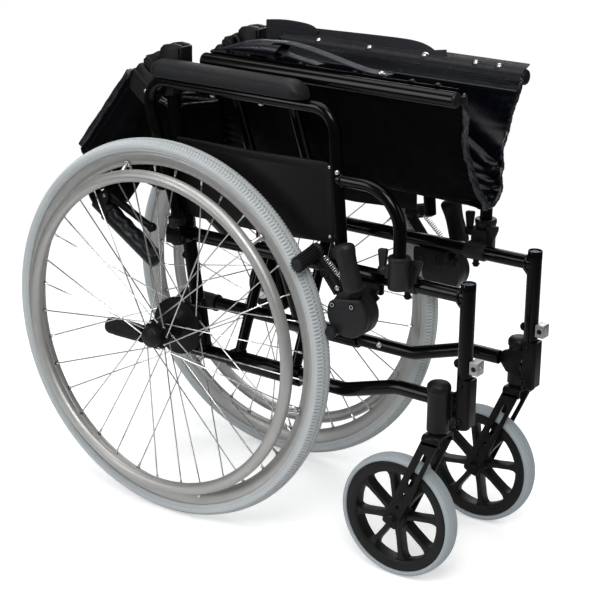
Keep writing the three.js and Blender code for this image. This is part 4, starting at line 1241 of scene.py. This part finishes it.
def drape(grid, pins, loose, frames=18, gravity=0.0, pressure=0.0):
    """Cloth simulation of a grid. Pins are 1 where it is held, and loose is 1 where it has slack to spare."""
    rows, cols = grid.shape[:2]
    index = np.arange(rows * cols).reshape(rows, cols)
    quads = np.stack([index[:-1, :-1], index[1:, :-1], index[1:, 1:], index[:-1, 1:]], -1).reshape(-1, 4)
    mesh = bpy.data.meshes.new("drape")
    mesh.from_pydata((grid.reshape(-1, 3) / 1000).tolist(), [], quads.tolist())
    obj = bpy.data.objects.new("drape", mesh)
    scene = bpy.context.scene
    scene.collection.objects.link(obj)
    for name, weights in (("pins", pins), ("loose", loose)):
        group = obj.vertex_groups.new(name=name)
        for i, w in enumerate(np.clip(weights, 0, 1).reshape(-1)):
            group.add([i], float(w), "REPLACE")
    cloth = obj.modifiers.new("cloth", "CLOTH")
    c = cloth.settings
    c.vertex_group_mass, c.vertex_group_shrink = "pins", "loose"
    c.shrink_min, c.shrink_max = 0.0, -0.07
    c.quality, c.mass, c.pin_stiffness = 6, 0.15, 1.2
    c.tension_stiffness = c.compression_stiffness = 20
    c.shear_stiffness, c.bending_stiffness = 8, 0.4
    c.effector_weights.gravity = gravity
    c.use_pressure = pressure > 0
    c.uniform_pressure_force = pressure
    cloth.collision_settings.use_collision = False
    for frame_number in range(1, frames + 1):
        scene.frame_set(frame_number)
    ready = obj.evaluated_get(bpy.context.evaluated_depsgraph_get()).to_mesh()
    flat_list = np.empty(rows * cols * 3)
    ready.vertices.foreach_get("co", flat_list)
    bpy.data.objects.remove(obj)
    bpy.data.meshes.remove(mesh)
    scene.frame_set(1)
    moved = flat_list.reshape(rows, cols, 3) * 1000
    step = moved - grid
    size = np.linalg.norm(step, axis=2, keepdims=True)
    return grid + step * np.minimum(1.0, 14.0 / np.maximum(size, 1e-6))


def stitches(points, lift, pitch=4.6, length=3.0, radius=0.42):
    """A row of thread stitches along points that are already on the cloth; lift raises them onto its face."""
    pts = np.asarray(points, float) + np.asarray(lift, float)
    walked = np.concatenate([[0], np.cumsum(np.linalg.norm(np.diff(pts, axis=0), axis=1))])
    shells = []
    for start in np.arange(pitch / 2, walked[-1] - length, pitch):
        a, b = ([np.interp(t, walked, pts[:, k]) for k in range(3)] for t in (start, start + length))
        shells.append(rod(a, b, radius, 0.2, 5))
    return shells


def eased(path, rounds=3):
    """A path with its small kinks smoothed away and its ends kept."""
    for _ in range(rounds):
        path = np.concatenate([path[:1], path[:-2] * 0.25 + path[1:-1] * 0.5 + path[2:] * 0.25, path[-1:]])
    return path


def gathered(path, radius, pull=0.22, pitch=9.0, wide=1.0, up=UPWARD, count=22):
    """A rolled hem that is gathered on its elastic: its section swells and twists along the way."""
    path = eased(np.asarray(path, float))
    walked = np.concatenate([[0], np.cumsum(np.linalg.norm(np.diff(path, axis=0), axis=1))])
    even = np.arange(0, walked[-1], 1.4)
    path = np.stack([np.interp(even, walked, path[:, k]) for k in range(3)], 1)
    drift = np.cumsum(RNG.normal(0, 0.25, len(even)))
    sections = []
    for s, wander in zip(even, drift):
        a = np.arange(count) * TAU / count
        swell = 1 + pull * np.sin(3 * a + TAU * s / pitch + wander) + 0.5 * pull * np.sin(5 * a - TAU
                * s / (pitch * 0.7))
        end = min(1.0, 0.35 + s / 4, 0.35 + (even[-1] - s) / 4)
        sections.append(np.stack([radius * wide * np.cos(a) * swell * end, radius * np.sin(a) * swell * end],
                                 1))
    return sweep(path, sections, up=up)


def band(width, thick):
    """The section of a webbing strap, with rounded edges and a fine lengthwise rib."""
    xs = np.linspace(-1, 1, 15)
    half = thick / 2 * np.clip(1 - np.abs(xs) ** 14, 0.15, 1)
    ripple = 1 + 0.14 * np.cos(xs * 30)
    upper = np.stack([xs * width / 2, half * ripple], 1)
    lower = np.stack([xs[::-1] * width / 2, -half[::-1] * ripple[::-1]], 1)
    return np.concatenate([upper, lower])


def strap(corners, width, thick, up=UPWARD, rounds=3):
    length = np.linalg.norm(np.diff(np.array(corners), axis=0), axis=1).sum()
    path = smooth_curve(corners, max(24, int(length / 4)), rounds)
    return sweep(path, band(width, thick), up=up)


def rivet(at, direction, radius=4.2):
    """A domed rivet on its washer."""
    ring = lathe([(0, -0.6), (radius * 1.45, -0.6), (radius * 1.45, 0.5), (radius * 1.2, 1.1), (0, 1.1)], at,
                 direction, 24)
    return [ring, dome(np.asarray(at, float) + unit(direction) * 1.0, direction, radius, 2.6)]


def hump(x, lo, hi):
    t = np.clip((x - lo) / (hi - lo), 0, 1)
    return t * t * (3 - 2 * t)


SLING_PROFILE, SLING_LENGTH = 172, 92
HEM_STITCH_COLUMN = 6
SEAM_Z = 709.0
# Folds of the slack wall: how far above the bottom each crest meets the front edge, its spread, and its rise.
FOLDS = ((62, 15, 8.5), (96, 18, -3.5), (39, 6.5, -5.5), (27, 6.5, 5.0), (14, 5.5, -4.0), (134, 16, 3.0))


def sling_grid():
    """The folded seat cloth, over both seat rails: taut on the right, slack and creased on the left."""
    near = [(-95, 741.4), (-88, 740.2), (-82.6, 735), (-81.6, 727), (-82, 718), (-78, 706), (-67, 681),
            (-51, 648),
            (-28, 607), (-9, 577), (4, 556), (13, 548)]
    far = [(26, 545), (38, 548), (50, 559), (61, 580), (70, 610), (77, 645), (80, 675), (80, 698),
           (77.5, 707), (80, 713),
           (81.4, 721), (83.4, 732.5), (93, 739.5), (106, 744.5)]
    profile = smooth_curve(near + far, SLING_PROFILE)
    front = SEAT_ENDS[0] - 4
    x, z = profile[:, 0][:, None], profile[:, 1][:, None]
    rear = -42 + 30 * hump(z, 700, 600)
    cut_back = 17 * hump(z, np.where(x > 20, 722, 714), np.where(x > 20, 650, 640)) * (1 - 0.42 * hump(z, 600,
            556))
    first = front + 2 + cut_back
    y = first + (rear - first) * np.linspace(0, 1, SLING_LENGTH)[None, :] ** 1.15
    inside = y - first
    grid = np.stack([x + 0 * y, y, z + 0 * y], 2)
    n = normals(grid)
    slack = hump(x, 0, 40) * (1 - hump(z, 676, 708)) * (x < 90)
    q = z - 548 - 0.57 * (y - front) + 60 * hump(x, 30, -10)
    height = 0 * q
    for crest, spread, rise in FOLDS:
        height = height + rise * np.exp(-(((q - crest) / spread) ** 2))
    height = height * slack * np.exp(-inside / 150)
    along = np.cumsum(np.r_[0, np.linalg.norm(np.diff(profile, axis=0), axis=1)])[:, None]
    low_down = 0.08 + 0.92 * hump(z, 628, 584)
    ruche = low_down * hump(x, -12, 16) * (x < 84) * np.exp(-inside / 30)
    ruche = ruche + 0.2 * (x < -10) * (x > -84) * np.exp(-inside / 9)
    height = height + 5.4 * ruche * np.sin(TAU * along / 13.5 + 0.9 * np.sin(y / 9))
    height = height + 5.5 * hump(x, -8, -30) * hump(z, 716, 700) * np.exp(-((inside / 9) ** 2))
    rear_ruche = (np.abs(x) < 80) * np.exp(-(rear - y) / 18)
    height = height + 2.0 * rear_ruche * np.sin(TAU * along / 16)
    wander = 1.3 * np.sin(x / 23 + y / 61) * np.sin(z / 31 - y / 83) * (np.abs(x) < 78)
    return grid + n * (height + wander)[..., None], front


def seat_sling():
    grid, front = sling_grid()
    x, y = grid[..., 0], grid[..., 1]
    held = 1 - 0.93 * hump(x, -30, 24) * (1 - hump(grid[..., 2], 690, 712)) * (1 - 0.5 * hump(front + 14 - y,
            0, 14))
    grid = drape(grid, held, 1 - held)
    p = Piece("seat_sling", 1, suffix=False)
    cloth = sheet(grid, 2.0)
    quads = (grid.shape[0] - 1) * (grid.shape[1] - 1)
    # The upper face gets the lighter inner nylon, painted light for the lit wall; the underside and the rim
    # get the dark nylon.
    p.add([PAINTED_LIGHTER_INNER, NYLON] * quads + [NYLON] * (len(cloth[1]) - 2 * quads), cloth)
    n = normals(grid)
    wall = (x[:, 0] > -82) & (x[:, 0] < 84)
    edge = grid[wall, 0]
    near = edge[edge[:, 0] < 14]
    far = edge[edge[:, 0] > 2]
    # Both front hems are in the lighter nylon, its lighter colour a painted highlight.
    p.add(PAINTED_HIGHLIGHT_NYLON, gathered(eased(near, 8) + (2.5, 0, 0), 3.9, 0.16, 34, 1.5, up=(0, 1, 0)))
    p.add(PAINTED_HIGHLIGHT_NYLON, gathered(eased(far, 6) + (1, 0, 0), 2.9, 0.14, 17, 1.1, up=ACROSS))
    p.add(NYLON, gathered(grid[wall, -1], 4.0, 0.25, 11))
    line, lift = grid[wall, HEM_STITCH_COLUMN], n[wall, HEM_STITCH_COLUMN]
    p.add(THREAD, *stitches(line, lift * 1.3, 5.5))
    ledge = int(np.argmin(np.abs(grid[:, 20, 2] - SEAM_Z) + 500 * (x[:, 20] < 60)))
    # The seam ledge is a thin roll in the lighter nylon, a painted highlight line along the crease.
    p.add(PAINTED_HIGHLIGHT_NYLON, sweep(eased(grid[ledge, 1:-2] + n[ledge, 1:-2] * 0.8, 6), circle(1.7, 10)))
    for column in (4, -7):
        for face in (-1.2, 1.2):
            p.add(THREAD, *stitches(grid[column, 2:-2], n[column, 2:-2] * face, 5.5))
    flap_rivets(p)
    start, end = (70, -265, 600), (-70, -265, 600)
    p.make("nylon_black", None, ["seat_panel_left", "seat_panel_right"], 60, ("cross_a", "cross_b", start,
            end))


def flap_rivets(p):
    """Rivets through the edge strips into the seat rails."""
    for y in (-431, -392, -303, -205, -110):
        washer, head = rivet((91.0, y, 738.6), (-0.55, 0, 0.83), 4.4)
        p.add(PLASTIC, washer).add(STEEL, head)
    # The near rail's rivets take the black fork paint as painted shade; the far rail's have steel heads.
    for y in (-437, -395, -300, -205, -110):
        p.add(FORK, *rivet((-89, y, 741), (0.45, 0, 0.9), 4.2))


def back_grid(foot, along, stations, profile, lean, columns=46):
    """Back cloth: a profile in (out, up-back or forward offset) carried along a tube's line. Its first edge
    leans away towards the centre."""
    d = unit(along)
    n = np.array([-d[1], d[0]])
    prof = smooth_curve(profile, 52)
    s = np.linspace(*stations, columns)
    part_way = (s[None, :] - stations[0]) / (stations[1] - stations[0])
    shift = lean * hump(prof[:, 0], 60, 0)[:, None] * (1 - 0.22 * part_way)
    pts = np.zeros((len(prof), columns, 3))
    pts[..., 0] = prof[:, 0][:, None]
    for k in (0, 1):
        pts[..., k + 1] = foot[k] + d[k] * (s[None, :] + shift) + n[k] * prof[:, 1][:, None]
    return pts, s


def back_cloth(name, side, s, foot, along, stations, profile, bodies, hems, lean=0.0):
    grid, station = back_grid(foot, along, stations, profile, lean)
    n = normals(grid)
    x = grid[..., 0]
    free = hump(x, 84, 70) * hump(x, 0, 12)
    ripple = np.sin(station / 9.5 + x / 17) * np.sin(x / 11 - station / 37) + 0.6 * np.sin(station / 23
            + x / 29)
    grid = grid + n * (0.9 * free * ripple)[..., None]
    grid = drape(grid, 1 - 0.75 * free, free * 0.3, 12)
    grid[-1, :, 0] = 0
    n = normals(grid)
    p = Piece(name, side)
    p.add(NYLON, sheet(grid, 2.2))
    # The side hems are in the lighter nylon, its lighter colour a painted highlight.
    for column in (0, -1):
        p.add(PAINTED_HIGHLIGHT_NYLON, gathered(grid[:, column], hems, 0.12, 13, 0.7, up=ACROSS))
    for column in (3, -4):
        for face in (-1.4, 1.4):
            p.add(THREAD, *stitches(grid[3:, column], n[3:, column] * face))
    # With lean, the roll at the middle fold is in the lighter nylon, its colour a painted highlight.
    if lean:
        p.add(PAINTED_HIGHLIGHT_NYLON, gathered(grid[-1, 1:-1] + (2.0, 0, 0), 8.4, 0.08, 70, 0.85, up=ACROSS))
    row = 46
    for face in (-1.4, 1.4):
        p.add(THREAD, *stitches(grid[row, 1:-1], n[row, 1:-1] * face))
    d = unit(along)
    a, b = (np.array(foot) + d * t for t in (stations[0] - 2, stations[1] + 2))
    pocket = np.array([flat(OUT, a + (b - a) * t) for t in np.linspace(0, 1, 60)])
    p.add(NYLON, gathered(pocket, 13.2, 0.025, 38, 1.0, up=(0, 1, 0), count=24))
    y, z = grid[20, 20, 1:]
    p.make("nylon_black", None, [f"{name.split('_cloth')[0]}_{s}"], 60, (*bodies, (86, y, z), (50, y, z)))


def back_cloths(side, s):
    """The cloth between the rear posts, and the one between the canes, each in a zigzag to the middle."""
    fold = [(86, 4), (74, 14), (60, 34), (52, 48), (48.5, 51), (45, 46), (40, 30), (24, -34), (8, -86),
            (3, -98), (0, -100.5)]
    back_cloth("lower_back_cloth", side, s, POST_BEND, post_direction(), (102, 188), fold,
               (f"side_{s}", f"lower_back_{s}"), 2.4)
    fold = [(86, -2), (76, -14), (62, -34), (53, -48), (48.5, -53), (45, -48), (40, -30), (26, 28), (13, 76),
            (6, 92), (0, 96)]
    back_cloth("upper_back_cloth", side, s, HINGE[1:], cane_direction(), (76, 279), fold,
               (f"back_{s}", f"upper_back_{s}"), 2.8, 58)


def belts():
    """Lap belt halves lying on the seat rails."""
    far = Piece("lap_belt", 1)
    far.add(WEBBING, strap([(95, -6, 742), (96, -40, 746), (96, -88, 744), (95, -96, 738)], 34, 2.4,
                           up=(-1, 0, 0.15)))
    far.add(WEBBING, strap([(92, -70, 736), (91, -140, 735), (89, -215, 733), (89, -270, 733),
                            (93, -312, 737), (99, -336, 740)],
                           22, 2.2, up=(-0.85, 0, 0.5)))
    far.add(WEBBING, strap([(99, -60, 744), (100, -150, 746), (100, -230, 748), (100, -280, 748),
                            (98, -306, 742),
                            (94, -318, 734)], 20, 2.2, up=(-0.9, 0, 0.4)))
    far.add(STEEL, *rivet((91.5, -303, 737.5), (-0.75, -0.05, 0.6), 4.8))
    far.make("nylon_black", "cross_a")
    near = Piece("lap_belt", -1)
    loop = [(78, -352, 742.5), (78, -320, 743.5), (77, -290, 748), (76, -240, 758), (74, -195, 765),
            (73, -160, 767),
            (73, -143, 762), (73, -150, 754), (75, -180, 748), (77, -215, 744), (78, -232, 742)]
    near.add(WEBBING, strap(loop, 21, 2.0, up=UPWARD))
    near.add(STEEL, *rivet((82, -340, 744), (-0.2, 0, 1), 3.8))
    roll = []
    for y, wide, tall, z in ((-52, 16, 2, 744), (-62, 17, 4, 746), (-84, 18, 9, 750), (-112, 18, 12, 753),
                             (-140, 17, 13, 754),
                             (-158, 17, 13.5, 754)):
        roll.append([(70 + wide * c, y - 9 * q * tall / 13, z + tall * q) for c, q in circle(1, 28)])
    roll = np.array(roll)
    inner = roll[::-1].copy()
    middle = inner.mean(1, keepdims=True)
    inner = middle + (inner - middle) * (0.88, 1, 0.84)
    # The rolled piece is in the lighter nylon, its colour a painted highlight.
    near.add(PAINTED_HIGHLIGHT_NYLON, skin(np.concatenate([roll, inner]), loop=True))
    near.make("nylon_black", "cross_b")


def brake_cable(side, s):
    """Sheathed cable from the hand lever, down past the hinge and the rear post to the drum."""
    p = Piece("brake_cable", side)
    post, cane = post_direction(), cane_direction()
    x = OUT - 15.5
    line = [(OUT - 40, -6, 318), (x - 6, -2, 350)]
    line += [flat(x, step_from(POST_BEND, post, along)) for along in (-30, 40, 180)]
    line += [flat(x - 3, step_from(HINGE[1:], post, -26)), flat(x - 4, step_from(HINGE[1:], post, 14))]
    line += [flat(x - 4, HINGE[1:] + 16), flat(x - 3, step_from(HINGE[1:], cane, 26))]
    line += [flat(x, step_from(HINGE[1:], cane, along)) for along in (120, 250)]
    line += [(x, 200, 482), flat(x + 3, step_from(CORNER, handle_direction(), 22, -18))]
    path = smooth_curve(line, 190, 3)
    p.add(RUBBER, sweep(path, circle(2.4, 10)))
    for t in (36, 60):
        a, b = path[t], path[t + 6]
        p.add(STEEL, rod(a, b, 3.6, 0.6, 14))
    for station in (-6, 96):
        at = flat(OUT, step_from(POST_BEND, post, station))
        p.add(PLASTIC, collar(at, flat(0, post), 11.2, 13, -2.2, 2.2, 28))
    start, end = (x, HINGE[1] - 6, HINGE[2]), (x, HINGE[1] + 26, HINGE[2])
    p.make("rubber_black", None, (), 60, (f"side_{s}", f"back_{s}", start, end))


# ---------------------------------------------------------------- stage
def studio():
    """Pale floor, soft lights and the camera."""
    scene = bpy.context.scene
    lo, hi = (np.array(c) for c in CAD_BOX)
    n = Nodes("studio_floor")
    away = n.node("ShaderNodeVectorMath", operation="LENGTH")
    n.link(n.place, away.inputs[0])
    glow = n.ramp(away.outputs["Value"], 0.5, 1.9)
    n.colour(n.mix(glow, (0.8, 0.8, 0.8), (0.0, 0.0, 0.0)))
    seen_directly = n.ramp(n.node("ShaderNodeLightPath").outputs["Is Camera Ray"], 0, 1, 0.06, 1.0)
    n.link(n.math("MULTIPLY", n.ramp(glow, 0, 1, 0.45, 1.0), seen_directly),
           n.bsdf.inputs["Emission Strength"])
    n.set(Roughness=0.8, Specular_IOR_Level=0.0, Emission_Color=(1, 1, 1, 1))
    mesh = bpy.data.meshes.new("floor")
    mesh.from_pydata([(-9, -9, 0), (9, -9, 0), (9, 9, 0), (-9, 9, 0)], [], [(0, 1, 2, 3)])
    mesh.materials.append(n.material)
    floor = bpy.data.objects.new("floor", mesh)
    scene.collection.objects.link(floor)
    floor.location.z = float(lo[2]) - 0.0005
    world = bpy.data.worlds.new("studio")
    scene.world = world
    world.use_nodes = True
    tree = world.node_tree
    seen, lit = tree.nodes.new("ShaderNodeBackground"), tree.nodes["Background"]
    seen.inputs["Color"].default_value = (1, 1, 1, 1)
    seen.inputs["Strength"].default_value = 1.0
    lit.inputs["Color"].default_value = (0.94, 0.97, 1.0, 1)
    path, mix = tree.nodes.new("ShaderNodeLightPath"), tree.nodes.new("ShaderNodeMixShader")
    dimmed = tree.nodes.new("ShaderNodeMapRange")
    dimmed.inputs["To Min"].default_value, dimmed.inputs["To Max"].default_value = 0.3, 0.1
    tree.links.new(path.outputs["Is Glossy Ray"], dimmed.inputs["Value"])
    tree.links.new(dimmed.outputs["Result"], lit.inputs["Strength"])
    tree.links.new(path.outputs["Is Camera Ray"], mix.inputs[0])
    tree.links.new(lit.outputs[0], mix.inputs[1])
    tree.links.new(seen.outputs[0], mix.inputs[2])
    tree.links.new(mix.outputs[0], tree.nodes["World Output"].inputs["Surface"])
    middle = Vector((lo + hi) / 2)
    lights = [("key", (-2.2, -1.6, 2.6), 1.6, 1.6, 70, (1, 0.99, 0.97)), ("top", (-0.2, 0.3, 2.6), 2.2, 2.2,
            45, (1, 1, 1)),
              ("left", (-2.6, 1.4, 1.0), 0.8, 1.8, 25, (0.95, 0.98, 1)), ("front", (0.9, -2.6, 1.3), 0.8, 1.4,
                      8, (1, 1, 1)),
              ("far", (2.4, 1.0, 1.6), 1.6, 1.6, 26, (1, 1, 1))]
    for name, offset, wide, tall, power, colour in lights:
        data = bpy.data.lights.new(name, "AREA")
        data.shape, data.size, data.size_y, data.energy, data.color = "RECTANGLE", wide, tall, power, colour
        lamp = bpy.data.objects.new(name, data)
        scene.collection.objects.link(lamp)
        lamp.location = middle + Vector(offset)
        lamp.rotation_mode = "QUATERNION"
        lamp.rotation_quaternion = (middle - lamp.location).to_track_quat("-Z", "Y")
    scene.view_settings.view_transform = "Standard"
    camera(scene, middle)


CAMERA_TURNS = (-54.38, 18.9, 0.65)
CAMERA_DISTANCE, CAMERA_LENS = 2.789, 107.76


def camera(scene, middle):
    """A long lens from the chair's right front, a little above it."""
    azimuth, elevation, roll = (math.radians(a) for a in CAMERA_TURNS)
    level = math.cos(elevation)
    back = Vector((math.sin(azimuth) * level, -math.cos(azimuth) * level, math.sin(elevation)))
    right = Vector((0, 0, 1)).cross(back).normalized()
    up = back.cross(right)
    x = right * math.cos(roll) + up * math.sin(roll)
    y = up * math.cos(roll) - right * math.sin(roll)
    data = bpy.data.cameras.new("camera")
    data.sensor_width, data.lens = 36, CAMERA_LENS
    data.clip_start, data.clip_end = 0.1, 40
    cam = bpy.data.objects.new("camera", data)
    scene.collection.objects.link(cam)
    target = Vector((0, middle.y - 0.02275, middle.z - 0.0198))
    place = target + back * CAMERA_DISTANCE
    cam.matrix_world = Matrix([(x[k], y[k], back[k], place[k]) for k in range(3)] + [(0, 0, 0, 1)])
    scene.camera = cam


SIDE_PARTS = (side_frame, latch_block, rear_tip, rear_tyre, rear_rim, rear_hub, handrim, rear_axle,
              caster_housing, caster_fork, caster_wheel, lock_body, lock_lever, lock_arm, armrest_frame,
              armrest_pad, skirt_guard, armrest_socket, back_cane, push_grip, brake_lever, back_cloths,
              brake_cable)


def build():
    for s, side in SIDES.items():
        for part in SIDE_PARTS:
            part(side, s)
    cross_frames()
    seat_sling()
    belts()
    studio()


build()
